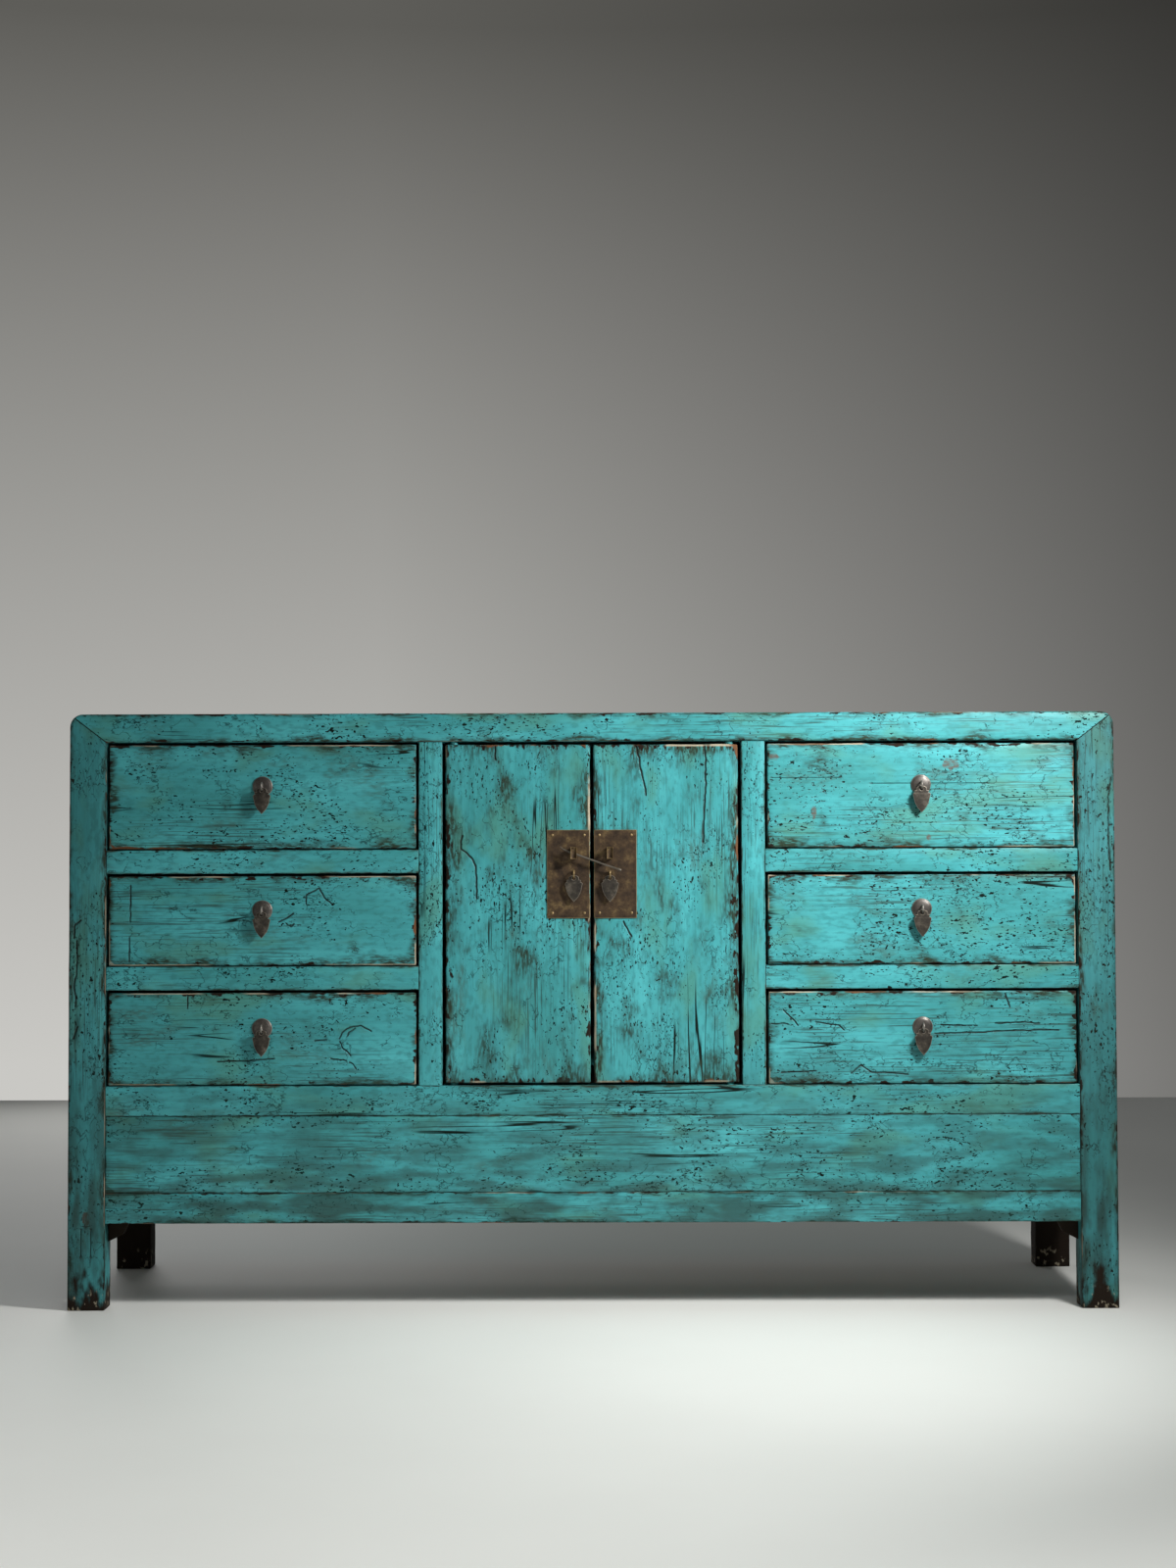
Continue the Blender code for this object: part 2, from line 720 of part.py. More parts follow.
def add_drawer(side_name, row, lacquer, raw, brass):
    """One drawer: its front, its box of two sides, back and raised bottom, its rose and its drop."""
    side = SIDES[side_name]
    foot, head = DRAWER_ROWS[row]
    x_low, x_high = spread(side * STILE_OUTER, side * POST_INNER)
    x_low, x_high = x_low + DRAWER_SIDE_GAP, x_high - DRAWER_SIDE_GAP
    middle = (x_low + x_high) / 2
    tag = f"{side_name}_{row}"
    carrier = add_empty(f"drawer_{tag}", (middle, DRAWER_FACE, foot))

    front_back = DRAWER_FACE + DRAWER_FRONT_THICKNESS
    bm = box_mesh(
        (x_low, DRAWER_FACE, foot + DRAWER_BOTTOM_GAP), (x_high, front_back, head - DRAWER_TOP_GAP)
    )
    rim = [edge for edge in bm.edges if all(abs(v.co.y - DRAWER_FACE) < FIT for v in edge.verts)]
    ease(bm, rim, INNER_ARRIS, 2)
    front = add_object(f"drawer_front_{tag}", bm, lacquer, (middle, DRAWER_FACE, foot), carrier)

    low = (x_low, front_back - BOX_LAP, foot + FIT)
    high = (x_high, BACK_PANEL_FACE - BOX_BACK_GAP, head - BOX_TOP_GAP)
    bottom_low = low[2] + BOX_BOTTOM_RAISE
    bottom_high = bottom_low + BOX_BOTTOM
    tray = add_object(f"drawer_box_{tag}", box_mesh(low, high), raw, (middle, DRAWER_FACE, foot), carrier)
    inside = (low[0] + BOX_WALL, high[0] - BOX_WALL)
    cut_box(
        tray,
        f"inside_{tag}",
        (inside[0], low[1] - OVERSIZE, bottom_high),
        (inside[1], high[1] - BOX_WALL, high[2] + OVERSIZE),
    )
    cut_box(
        tray,
        f"under_{tag}",
        (inside[0], low[1] - OVERSIZE, low[2] - OVERSIZE),
        (inside[1], high[1] + OVERSIZE, bottom_low),
    )
    laps = {
        "near": ((low[0] - OVERSIZE, low[1], low[2] - OVERSIZE), (inside[0], high[1], high[2])),
        "far": ((inside[1], low[1], low[2] - OVERSIZE), (high[0] + OVERSIZE, high[1], high[2])),
        "bottom": ((low[0], low[1], bottom_low), (high[0], high[1], bottom_high)),
    }
    for name, (lap_low, lap_high) in laps.items():
        cut_box(front, f"lap_{tag}_{name}", *grown(lap_low, lap_high))

    height = (foot + DRAWER_BOTTOM_GAP + head - DRAWER_TOP_GAP) / 2 + ROSE_RAISE
    centre = add_rose(f"pull_rose_{tag}", DRAWER_FACE, middle, height, brass, carrier)
    add_drop(f"pull_drop_{tag}", centre, brass, carrier)


def add_door(side_name, tops, waist, lacquer):
    """One plank door with a round pivot at its top and bottom, and the sockets for them in the rails."""
    side = SIDES[side_name]
    x_low, x_high = spread(side * (DOOR_HALF - DOOR_SIDE_GAP), side * DOOR_MEETING_GAP / 2)
    foot, head = WAIST_TOP + DOOR_BOTTOM_GAP, TOP_RAIL_FOOT - DOOR_TOP_GAP
    axis = (side * (DOOR_HALF - DOOR_SIDE_GAP - PIVOT_INSET), DOOR_FACE + DOOR_THICKNESS / 2)
    carrier = add_empty(f"door_pivot_{side_name}", (*axis, foot))
    bm = box_mesh((x_low, DOOR_FACE, foot), (x_high, DOOR_FACE + DOOR_THICKNESS, head))
    rim = [edge for edge in bm.edges if all(abs(v.co.y - DOOR_FACE) < FIT for v in edge.verts)]
    hinge_edge = x_low if side < 0 else x_high
    hinge_back = [
        edge
        for edge in edges_along(bm, 2)
        if all(abs(v.co.x - hinge_edge) < FIT and v.co.y > axis[1] for v in edge.verts)
    ]
    ease(bm, rim + hinge_back, DOOR_ARRIS, 2)
    door = add_object(f"door_{side_name}", bm, lacquer, (*axis, foot), carrier)
    segments = 12
    for place, low, high, rail in (
        ("foot", foot - PIVOT_REACH, foot + DOOR_ARRIS, waist),
        ("head", head - DOOR_ARRIS, head + PIVOT_REACH, tops["front"]),
    ):
        reach = high - low
        pin = [(0.0, 0.0), (PIVOT_RADIUS, 0.0), (PIVOT_RADIUS, reach), (0.0, reach)]
        bore_radius = PIVOT_RADIUS + FIT
        bore = [(0.0, -FIT), (bore_radius, -FIT), (bore_radius, reach + FIT), (0.0, reach + FIT)]
        for profile, target, operation in ((pin, door, "UNION"), (bore, rail, "DIFFERENCE")):
            bm = place_mesh(turned_mesh(profile, segments), (*axis, low), Matrix.Identity(3))
            combine(target, add_cutter(f"pivot_{side_name}_{place}_{operation.lower()}", bm), operation)
    return carrier


def eye_half_height():
    """Half the height of a staple's eye: a loose pin tilts in it until it binds on two edges."""
    return (PIN_RADIUS + FIT) / math.cos(PIN_TILT) + STAPLE_WIDTH / 2 * math.tan(PIN_TILT)


def add_lock_plate(side_name, carrier, brass):
    """A plate with four rivet heads, the staple that takes the lock pin and the ring of its drop."""
    side = SIDES[side_name]
    inner = side * (DOOR_MEETING_GAP / 2 + PLATE_EDGE_GAP)
    x_low, x_high = spread(inner, inner + side * PLATE_WIDTH)
    middle = (x_low + x_high) / 2
    height = TOP_RAIL_FOOT - PLATE_DROP_FROM_TOP
    back = DOOR_FACE - FIT
    bm = box_mesh(
        (x_low, PLATE_FACE, height - PLATE_HEIGHT / 2), (x_high, back, height + PLATE_HEIGHT / 2)
    )
    plate = add_object(f"lock_plate_{side_name}", bm, brass, (middle, DOOR_FACE, height), carrier)
    turn = Matrix.Rotation(-math.pi / 2, 3, "X")
    segments = 8
    sunk = (PLATE_FACE + back) / 2 - PLATE_FACE
    rivet = [(0.0, -RIVET_HEIGHT), (0.6 * RIVET_RADIUS, -0.8 * RIVET_HEIGHT), (RIVET_RADIUS, 0.0)]
    rivet += [(RIVET_RADIUS, sunk), (0.0, sunk)]
    for across in (-1, 1):
        for up in (-1, 1):
            x = middle + across * (PLATE_WIDTH / 2 - RIVET_INSET)
            z = height + up * (PLATE_HEIGHT / 2 - RIVET_INSET)
            bm = place_mesh(turned_mesh(rivet, segments), (x, PLATE_FACE, z), turn)
            combine(plate, add_cutter(f"rivet_{side_name}_{across}_{up}", bm), "UNION")

    fitting = middle - side * PLATE_FITTING_OFFSET
    eye = (fitting, PLATE_FACE - EYE_REACH, height + STAPLE_RAISE)
    half = STAPLE_WIDTH / 2
    bm = box_mesh(
        (fitting - half, PLATE_FACE - STAPLE_REACH, eye[2] - STAPLE_HEIGHT / 2),
        (fitting + half, PLATE_FACE + sunk, eye[2] + STAPLE_HEIGHT / 2),
    )
    ease(bm, edges_along(bm, 0), INNER_ARRIS, 2)
    combine(plate, add_cutter(f"staple_{side_name}", bm), "UNION")
    slot = eye_half_height()
    cut_box(
        plate,
        f"eye_{side_name}",
        (fitting - half - OVERSIZE, eye[1] - slot, eye[2] - slot),
        (fitting + half + OVERSIZE, eye[1] + slot, eye[2] + slot),
    )
    centre = (fitting, PLATE_FACE - RING_RADIUS - RING_LIFT, height)
    combine(plate, add_cutter(f"ring_plate_{side_name}", ring_mesh(centre)), "UNION")
    add_drop(f"door_drop_{side_name}", centre, brass, carrier)
    return eye


def add_lock_pin(eye, carrier, brass):
    """The lock pin, loose in the left staple and tilted down across the meeting of the doors."""
    tip, tail = PIN_LENGTH, -PIN_TAIL
    bulb = PIN_TIP_RADIUS
    profile = [
        (0.0, tail),
        (0.7 * PIN_RADIUS, tail + 0.2 * PIN_RADIUS),
        (PIN_RADIUS, tail + PIN_TAIL / 2),
        (PIN_RADIUS, tip - 3 * bulb),
        (bulb, tip - 2 * bulb),
        (bulb, tip - bulb),
        (0.6 * bulb, tip - 0.2 * bulb),
        (0.0, tip),
    ]
    turn = Matrix.Rotation(math.pi / 2 + PIN_TILT, 3, "Y")
    bm = place_mesh(turned_mesh(profile, 10), eye, turn)
    add_object("lock_pin", bm, brass, eye, carrier)


def main():
    clear_scene()
    lacquer = make_material("turquoise_lacquer", (0.03, 0.30, 0.32), 0.42)
    raw = make_material("raw_elm", (0.28, 0.17, 0.09), 0.7)
    brass = make_material("patinated_brass", (0.10, 0.075, 0.045), 0.5, 0.8)
    envelope = envelope_cutter()
    posts = add_posts(envelope, lacquer)
    tops = add_top_rails(envelope, lacquer)
    waist, stiles = add_front_frame(posts, tops, lacquer)
    add_drawer_rails(posts, stiles, lacquer)
    back_panel = add_shell(posts, tops, lacquer)
    add_inside(waist, back_panel, raw)
    add_spandrels(lacquer)
    for side_name in SIDES:
        for row in DRAWER_ROWS:
            add_drawer(side_name, row, lacquer, raw, brass)
    for side_name in SIDES:
        carrier = add_door(side_name, tops, waist, lacquer)
        eye = add_lock_plate(side_name, carrier, brass)
        if side_name == "left":
            add_lock_pin(eye, carrier, brass)


main()
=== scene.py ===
"""The looks of a turquoise lacquered sideboard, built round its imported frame.

Boards, panels and posts are modelled over the frame's own members with worn arrises, cracks and a layered old
lacquer. The hardware is patinated brass. A plain pale floor, a grey backdrop and soft studio light finish it.
"""

import logging
import math
from collections.abc import Callable, Iterator, Sequence
from contextlib import contextmanager
from dataclasses import dataclass, field
from enum import Enum
from typing import ClassVar

import bmesh
import bpy
import numpy as np
from mathutils import Matrix, Vector, noise


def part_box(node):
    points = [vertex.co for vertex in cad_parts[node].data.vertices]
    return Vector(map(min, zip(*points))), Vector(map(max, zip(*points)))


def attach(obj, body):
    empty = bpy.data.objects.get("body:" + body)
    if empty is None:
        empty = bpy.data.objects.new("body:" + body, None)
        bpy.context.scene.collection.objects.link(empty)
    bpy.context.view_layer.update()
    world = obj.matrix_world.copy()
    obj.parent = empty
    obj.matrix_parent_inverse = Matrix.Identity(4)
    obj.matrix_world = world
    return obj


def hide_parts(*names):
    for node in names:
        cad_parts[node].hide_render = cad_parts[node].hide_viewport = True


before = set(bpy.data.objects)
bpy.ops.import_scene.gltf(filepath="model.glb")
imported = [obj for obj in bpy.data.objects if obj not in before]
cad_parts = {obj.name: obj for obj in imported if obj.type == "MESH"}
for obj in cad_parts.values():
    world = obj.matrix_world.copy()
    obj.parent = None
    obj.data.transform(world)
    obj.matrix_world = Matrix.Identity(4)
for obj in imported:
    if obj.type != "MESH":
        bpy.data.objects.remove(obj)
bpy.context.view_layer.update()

logging.basicConfig(level=logging.INFO, format="%(message)s")
LOG = logging.getLogger("sideboard")

MM = 0.001

# Sizes that the frame's own members share
POST_WIDTH = 57 * MM
POST_DEPTH = 45 * MM
TOP_RAIL_HEIGHT = 44 * MM
CORNER_RADIUS = 20 * MM
TENON = 20.3 * MM
TONGUE = 8.3 * MM
PIVOT_REACH = 12 * MM
RUNNER_WIDTH = 25 * MM
RUNNER_HEIGHT = 20 * MM
BOX_WALL = 10 * MM
BOX_BOTTOM = 6 * MM
JOINT_GAP = 0.3 * MM

# Sizes of the hardware
ROSE_RADIUS = 15.5 * MM
ROSE_RIM = 14.6 * MM
ROSE_DOME = 4.3 * MM
RING_RADIUS = 5.5 * MM
RING_WIRE = 1.2 * MM
PLATE_THICKNESS = 1.2 * MM
STAPLE = Vector((9 * MM, 20 * MM, 18 * MM))

# Limits for working on a mesh: what counts as touching and as one point, as a corner and a square corner (in radians),
# and as facing one way and lying flat (the least share of a unit normal)
TOUCH = 0.1 * MM
WELD = 0.01 * MM
SHARP = 0.5
SQUARE = 1.2
FACING = 0.9
FLAT = 0.99

# Unevenness: how far across chips, plane strokes and hammer marks are, and how far planed and beaten faces wander
CHIP = 22 * MM
PLANE_STROKE = 90 * MM
PLANE_WANDER = 0.45 * MM
HAMMER_MARK = 18 * MM
HAMMER_WANDER = 0.25 * MM

# How far each board's pattern is moved off the last one's, in metres, and an edge distance that neither rubbing nor
# a painted highlight reaches
PATTERN_STEP = (3.17, 1.93, 2.41)
UNBRIGHTENED = 2 * MM

# Where the patterns of drawers and doors start, as the carcass counts up from one, and the seed of the noise that
# makes cracks waver, which would differ from run to run without it
DRAWER_SEED = 40
DOOR_SEED = 60
NOISE_SEED = 1

SIDES = {"left": -1, "right": 1}
ROWS = ("top", "middle", "bottom")


class Axis(Enum):
    """The run of a board's grain."""

    X = 0
    Y = 1
    Z = 2


class Finish(Enum):
    """The finishes: the record's material slot, and the finish's own name."""

    LACQUER = ("turquoise_lacquer", "old_turquoise_lacquer")
    RAW = ("raw_elm", "bare_planed_elm")
    PLATE = ("plate_brass", "brown_sheet_brass")
    ROSE = ("plate_brass", "handled_sheet_brass")
    PULL = ("dark_brass", "dark_wrought_brass")


class Form(Enum):
    """The small metal forms, each modelled once."""

    RING = "ring"
    LEAF = "leaf"
    DOME = "dome"
    RIVET = "rivet"
    STAPLE = "staple"


def linear(code: str) -> tuple[float, float, float, float]:
    """Turns an sRGB hex colour to linear light.

    Args:
        code: six hex digits after a hash.

    Returns:
        Linear red, green and blue, and a full alpha.
    """
    parts = [int(code[i : i + 2], 16) / 255 for i in (1, 3, 5)]
    light = [c / 12.92 if c <= 0.04045 else ((c + 0.055) / 1.055) ** 2.4 for c in parts]
    return light[0], light[1], light[2], 1.0


def per_metre(size_mm: float) -> float:
    """The texture scale whose features are about this many millimetres across."""
    return 1000.0 / size_mm


def add_node(tree: bpy.types.NodeTree, kind: str, *feeds: object, **settings: object) -> bpy.types.Node:
    """Adds one node to a tree, with its settings and its links.

    Args:
        tree: the node tree.
        kind: the node's type name, without its ShaderNode prefix.
        feeds: what its inputs take, in order: a node, an output socket or a value.
        settings: the node's own properties, or what its inputs take by name, with _ for a space. A ramp takes
            stops, a list of places and colours.

    Returns:
        The new node.
    """
    made = tree.nodes.new("ShaderNode" + kind)
    stops = settings.pop("stops", ())
    named = {}
    for name, value in settings.items():
        if hasattr(made, name):
            setattr(made, name, value)
        else:
            named[made.inputs[name.replace("_", " ")]] = value
    shown = [socket for socket in made.inputs if socket.enabled]
    for socket, feed in [*zip(shown, feeds), *named.items()]:
        if isinstance(feed, bpy.types.Node):
            feed = next(out for out in feed.outputs if out.enabled)
        if isinstance(feed, bpy.types.NodeSocket):
            tree.links.new(feed, socket)
        else:
            socket.default_value = feed
    while stops and len(made.color_ramp.elements) < len(stops):
        made.color_ramp.elements.new(1.0)
    for i, (place, colour) in enumerate(stops):
        made.color_ramp.elements[i].position = place
        made.color_ramp.elements[i].color = colour
    return made


def clear_tree(owner: bpy.types.Material | bpy.types.World) -> bpy.types.NodeTree:
    """Turns on the nodes of a material or a world and empties them.

    Args:
        owner: the material or the world.

    Returns:
        Its empty node tree.
    """
    owner.use_nodes = True
    owner.node_tree.nodes.clear()
    return owner.node_tree


def alone(obj: bpy.types.Object) -> None:
    """Selects one object and nothing else, and makes it the active one.

    Args:
        obj: the object.
    """
    bpy.ops.object.select_all(action="DESELECT")
    bpy.context.view_layer.objects.active = obj
    obj.select_set(True)


@contextmanager
def editing(obj: bpy.types.Object) -> Iterator[None]:
    """Opens one object in edit mode with nothing else selected, and closes it again.

    Args:
        obj: the mesh object to edit.
    """
    alone(obj)
    bpy.ops.object.mode_set(mode="EDIT")
    yield
    bpy.ops.object.mode_set(mode="OBJECT")


def pick(obj: bpy.types.Object, kind: str, test: Callable[..., bool]) -> int:
    """Selects the parts of an object in edit mode that pass a test, and nothing else.

    Args:
        obj: the object in edit mode.
        kind: VERT, EDGE or FACE.
        test: takes a vertex, edge or face and says if it is wanted.

    Returns:
        How many were selected.
    """
    bpy.ops.mesh.select_mode(type=kind)
    bpy.ops.mesh.select_all(action="DESELECT")
    bm = bmesh.from_edit_mesh(obj.data)
    found = [item for item in {"VERT": bm.verts, "EDGE": bm.edges, "FACE": bm.faces}[kind] if test(item)]
    for item in found:
        item.select_set(True)
    bm.select_flush_mode()
    bmesh.update_edit_mesh(obj.data)
    return len(found)


def runs_along(edge: bmesh.types.BMEdge, axis: int) -> bool:
    """Says if an edge runs along an axis."""
    run = edge.verts[1].co - edge.verts[0].co
    return abs(run[axis]) > 0.999 * run.length


def is_sharp(edge: bmesh.types.BMEdge) -> bool:
    """Says if an edge is a corner, not a line over a flat or rounded face."""
    return len(edge.link_faces) == 2 and edge.calc_face_angle() > SHARP


def faces_front(face: bmesh.types.BMFace) -> bool:
    """Says if a face looks to the front."""
    return face.normal.y < -FACING


def settle(obj: bpy.types.Object) -> None:
    """Puts an object's place, turn and size into its mesh."""
    alone(obj)
    bpy.ops.object.transform_apply(location=True, rotation=True, scale=True)


def modify(obj: bpy.types.Object, kind: str, **settings: object) -> None:
    """Adds a modifier with its settings and applies it.

    Args:
        obj: the object that takes it.
        kind: the modifier's type.
        settings: values of its properties.
    """
    bpy.context.view_layer.objects.active = obj
    step = obj.modifiers.new(kind.lower(), kind)
    for name, value in settings.items():
        setattr(step, name, value)
    bpy.ops.object.modifier_apply(modifier=step.name)


def join(pieces: Sequence[bpy.types.Object], name: str) -> bpy.types.Object:
    """Joins objects into the first one.

    Args:
        pieces: the objects, the first of which stays.
        name: the joined object's name.

    Returns:
        The joined object.
    """
    bpy.ops.object.select_all(action="DESELECT")
    for piece in pieces:
        piece.select_set(True)
    bpy.context.view_layer.objects.active = pieces[0]
    bpy.ops.object.join()
    pieces[0].name = name
    return pieces[0]


def smooth(obj: bpy.types.Object, degrees: float = 40.0) -> None:
    """Shades an object smooth up to an angle."""
    alone(obj)
    bpy.ops.object.shade_smooth_by_angle(angle=math.radians(degrees))


def clouds(name: str, size: float) -> bpy.types.Texture:
    """A soft noise for displacing, whose lumps have a size in metres.

    Args:
        name: the texture's name.
        size: how far across a lump is.

    Returns:
        The texture, made once for each name.
    """
    made = bpy.data.textures.get(name) or bpy.data.textures.new(name, "CLOUDS")
    made.noise_scale = size
    made.noise_depth = 3
    return made


@dataclass(frozen=True)
class Pattern:
    """A noise of lumps of one size, drawn out along the grain and moved off the other patterns."""

    size_mm: float
    stretch: float
    detail: float
    shift: float


@dataclass(frozen=True)
class Lacquer:
    """Old lacquer brushed thinly over softwood, handled and knocked for a century.

    It gives the eye a satin turquoise that drifts between blue and green, brush and grain lines along the board,
    dark specks where it has flaked, and brown grime and bare wood along every arris.
    """

    bright: str = "#4AAAAF"
    middle: str = "#3E979B"
    deep: str = "#378A8B"
    shade: str = "#2B7070"
    olive: str = "#4A8672"
    grime: str = "#26413B"
    smudge: str = "#3C4A38"
    stain: str = "#2E3527"
    fleck: str = "#0F1B18"
    undercoat: str = "#241B15"
    bare: str = "#674731"
    scar: str = "#5A544D"
    # Chalky ground, which on the arrises is partly a painted highlight
    chalk_and_glint: str = "#AFA48D"
    foot: str = "#241D17"
    # Brush strokes are wider than the real hairs, and pores and crackle wider than real ones, so that they show
    patterns: ClassVar[dict[str, Pattern]] = {
        "drift": Pattern(90, 2.5, 4, 0),
        "mottle": Pattern(6.5, 2.4, 7, 2.3),
        "brush": Pattern(5, 30, 2, 3.1),
        "worn": Pattern(130, 2, 2, 7.7),
        "lines": Pattern(2, 40, 3, 1.7),
        "olive": Pattern(60, 2.2, 6, 5.3),
        "dirt": Pattern(46, 2.2, 8, 6.1),
        "hollow": Pattern(3.2, 4, 4, 9.1),
        "sparse": Pattern(70, 1.6, 2, 11.3),
        "flake": Pattern(6, 1.7, 2.5, 13.9),
        "speck": Pattern(2.8, 2.2, 2, 15.1),
        "crackle": Pattern(15, 1.6, 3, 17.1),
        "crackled": Pattern(60, 1, 2, 19.7),
        "split": Pattern(24, 28, 2, 23.3),
        "splitting": Pattern(85, 3, 2, 29.9),
        "chip": Pattern(9, 2.2, 5, 31.7),
        "soil": Pattern(40, 1.5, 6, 37.3),
        "streak": Pattern(3.2, 4, 5, 39.1),
        "rub": Pattern(36, 2, 3, 41.9),
        "ground": Pattern(58, 2, 3, 43.1),
        "dust": Pattern(22, 4, 7, 45.3),
        "damp_and_shade": Pattern(16, 2.5, 5, 47.7),
        "knock": Pattern(8, 1.6, 4, 53.3),
    }
    # The levels between which a pattern comes in, and its strength at each of them
    steps: ClassVar[dict[str, tuple[float, float, float, float]]] = {
        "mottle": (0.46, 0.66, 0.0, 0.5),
        "brush": (0.35, 0.65, 0.0, 0.16),
        "worn": (0.47, 0.62, 0.0, 1.0),
        "lines": (0.54, 0.62, 0.0, 0.75),
        "olive": (0.50, 0.68, 0.0, 0.55),
        "dirt": (0.545, 0.74, 0.0, 0.56),
        "hollow": (0.38, 0.60, 0.15, 1.0),
        "sparse": (0.60, 0.36, 0.0, 0.14),
        "crackled": (0.49, 0.59, 0.0, 0.65),
        "splitting": (0.58, 0.64, 0.0, 1.0),
        "streak": (0.36, 0.58, 0.25, 0.95),
        "ground": (0.54, 0.62, 0.0, 0.9),
        "dust": (0.36, 0.64, 0.0, 0.78),
        "knock": (0.60, 0.64, 0.0, 0.6),
    }
    # What creeps in from an edge or up from the floor: how many metres its pattern throws it about, and the
    # distances, so thrown about, where it starts and where it is full
    creeps: ClassVar[dict[str, tuple[float, float, float]]] = {
        "soil": (0.036, 0.0252, 0.0165),
        "chip": (0.020, 0.0105, 0.0096),
        "rub": (0.014, 0.0065, 0.0058),
        "damp_and_shade": (0.220, 0.180, 0.120),
    }
    # Flakes of two to six millimetres, gathered in clusters: the levels between which they come in
    flakes: ClassVar[dict[str, tuple[float, float]]] = {"flake": (0.655, 0.672), "speck": (0.622, 0.642)}
    # Wandering crackle and splits along the grain are level lines of a noise: how far off its middle level a line
    # fades out, and where it is full
    fissures: ClassVar[dict[str, tuple[float, float]]] = {"crackle": (0.020, 0.006), "split": (0.013, 0.006)}
    # The chalky ground shows on the very arris, there partly as chalky ground and partly as a painted highlight, dust
    # thins out above the apron, and feet get knocked: the distances, in metres, where each fades out and where it is
    # full
    bands: ClassVar[dict[str, tuple[float, float]]] = {
        "arris": (1.4 * MM, 0.7 * MM),
        "low": (0.46, 0.16),
        "toe": (0.036, 0.022),
    }
    # What is kept to places that another pattern allows: its own name, and the two that are multiplied
    allowed: ClassVar[tuple[tuple[str, str, str], ...]] = (
        ("lines", "lines", "worn"),
        ("dirt", "dirt", "hollow"),
        ("crackle", "crackle", "crackled"),
        ("split", "split", "splitting"),
        ("soil", "soil", "streak"),
        ("ground", "arris", "ground"),
        ("dust", "low", "dust"),
        ("knock", "toe", "knock"),
        ("scar", "scar", "streak"),
    )

    def make(self, name: str) -> bpy.types.Material:
        """Builds the material.

        Args:
            name: the material's name.

        Returns:
            The lacquer, which reads the grain, edge, dark and scar attributes of each board.
        """
        made = bpy.data.materials.new(name)
        tree = clear_tree(made)
        grain = add_node(tree, "Attribute", attribute_name="grain").outputs["Vector"]
        edge = add_node(tree, "Attribute", attribute_name="edge").outputs["Fac"]
        dark = add_node(tree, "Attribute", attribute_name="dark").outputs["Fac"]
        scar = add_node(tree, "Attribute", attribute_name="scar").outputs["Fac"]
        height = add_node(tree, "SeparateXYZ", add_node(tree, "TexCoord").outputs["Object"]).outputs["Z"]

        lumps, mask = {}, {"scar": scar}
        for mark_name, pattern in self.patterns.items():
            pull = Vector((1 / pattern.stretch, 1.0, 1.0))
            drawn = add_node(tree, "VectorMath", grain, pull, pull * pattern.shift, operation="MULTIPLY_ADD")
            lumps[mark_name] = add_node(tree, "TexNoise", drawn, per_metre(pattern.size_mm), pattern.detail)
        for mark_name, levels in self.steps.items():
            mask[mark_name] = add_node(tree, "MapRange", lumps[mark_name], *levels, interpolation_type="SMOOTHSTEP")
        for mark_name, (throw, start, full) in self.creeps.items():
            whence = height if mark_name == "damp_and_shade" else edge
            thrown = add_node(tree, "Math", lumps[mark_name], throw, whence, operation="MULTIPLY_ADD")
            mask[mark_name] = add_node(tree, "MapRange", thrown, start, full, interpolation_type="SMOOTHSTEP")
        for mark_name, levels in self.flakes.items():
            sparse = add_node(tree, "Math", lumps[mark_name], mask["sparse"], operation="SUBTRACT")
            mask[mark_name] = add_node(tree, "MapRange", sparse, *levels)
        for mark_name, offsets in self.fissures.items():
            level = add_node(tree, "Math", lumps[mark_name], 0.5, operation="SUBTRACT")
            away = add_node(tree, "Math", level, operation="ABSOLUTE")
            mask[mark_name] = add_node(tree, "MapRange", away, *offsets)
        for mark_name, reaches in self.bands.items():
            whence = edge if mark_name == "arris" else height
            mask[mark_name] = add_node(tree, "MapRange", whence, *reaches)
        for mark_name, one, other in self.allowed:
            mask[mark_name] = add_node(tree, "Math", mask[one], mask[other], operation="MULTIPLY")
        flaked = add_node(tree, "Math", mask["flake"], mask["speck"], operation="MAXIMUM")
        cracked = add_node(tree, "Math", mask["crackle"], mask["split"], operation="MAXIMUM")
        mask["marks"] = add_node(tree, "Math", flaked, cracked, operation="MAXIMUM")
        # Board tone, mitres, cracks and the back feet darken here too; on the back feet this is partly painted shade
        # under the case
        mask["damp_and_shade"] = add_node(tree, "Math", mask["damp_and_shade"], dark, operation="MAXIMUM")

        # The coat drifts from blue to green in patches a hand across, and each layer of wear lies over the last
        stops = [(0.32, linear(self.deep)), (0.50, linear(self.middle)), (0.68, linear(self.bright))]
        colour = add_node(tree, "ValToRGB", lumps["drift"], stops=stops)
        for shown, code, blend in (
            (mask["mottle"], self.shade, "MIX"),
            (mask["brush"], "#FFFFFF", "SOFT_LIGHT"),
            (mask["lines"], self.grime, "MIX"),
            (mask["olive"], self.olive, "MIX"),
            (mask["dirt"], self.smudge, "MIX"),
            (mask["marks"], self.fleck, "MIX"),
            (mask["soil"], self.stain, "MIX"),
            (mask["chip"], self.undercoat, "MIX"),
            (mask["rub"], self.bare, "MIX"),
            # The pale arris is chalky ground and partly a painted highlight along it
            (mask["ground"], self.chalk_and_glint, "MIX"),
            (mask["scar"], self.scar, "MIX"),
            (mask["dust"], self.grime, "MIX"),
            (mask["damp_and_shade"], self.foot, "MIX"),
            (mask["knock"], self.chalk_and_glint, "MIX"),
        ):
            colour = add_node(tree, "Mix", shown, colour, linear(code), data_type="RGBA", blend_type=blend)

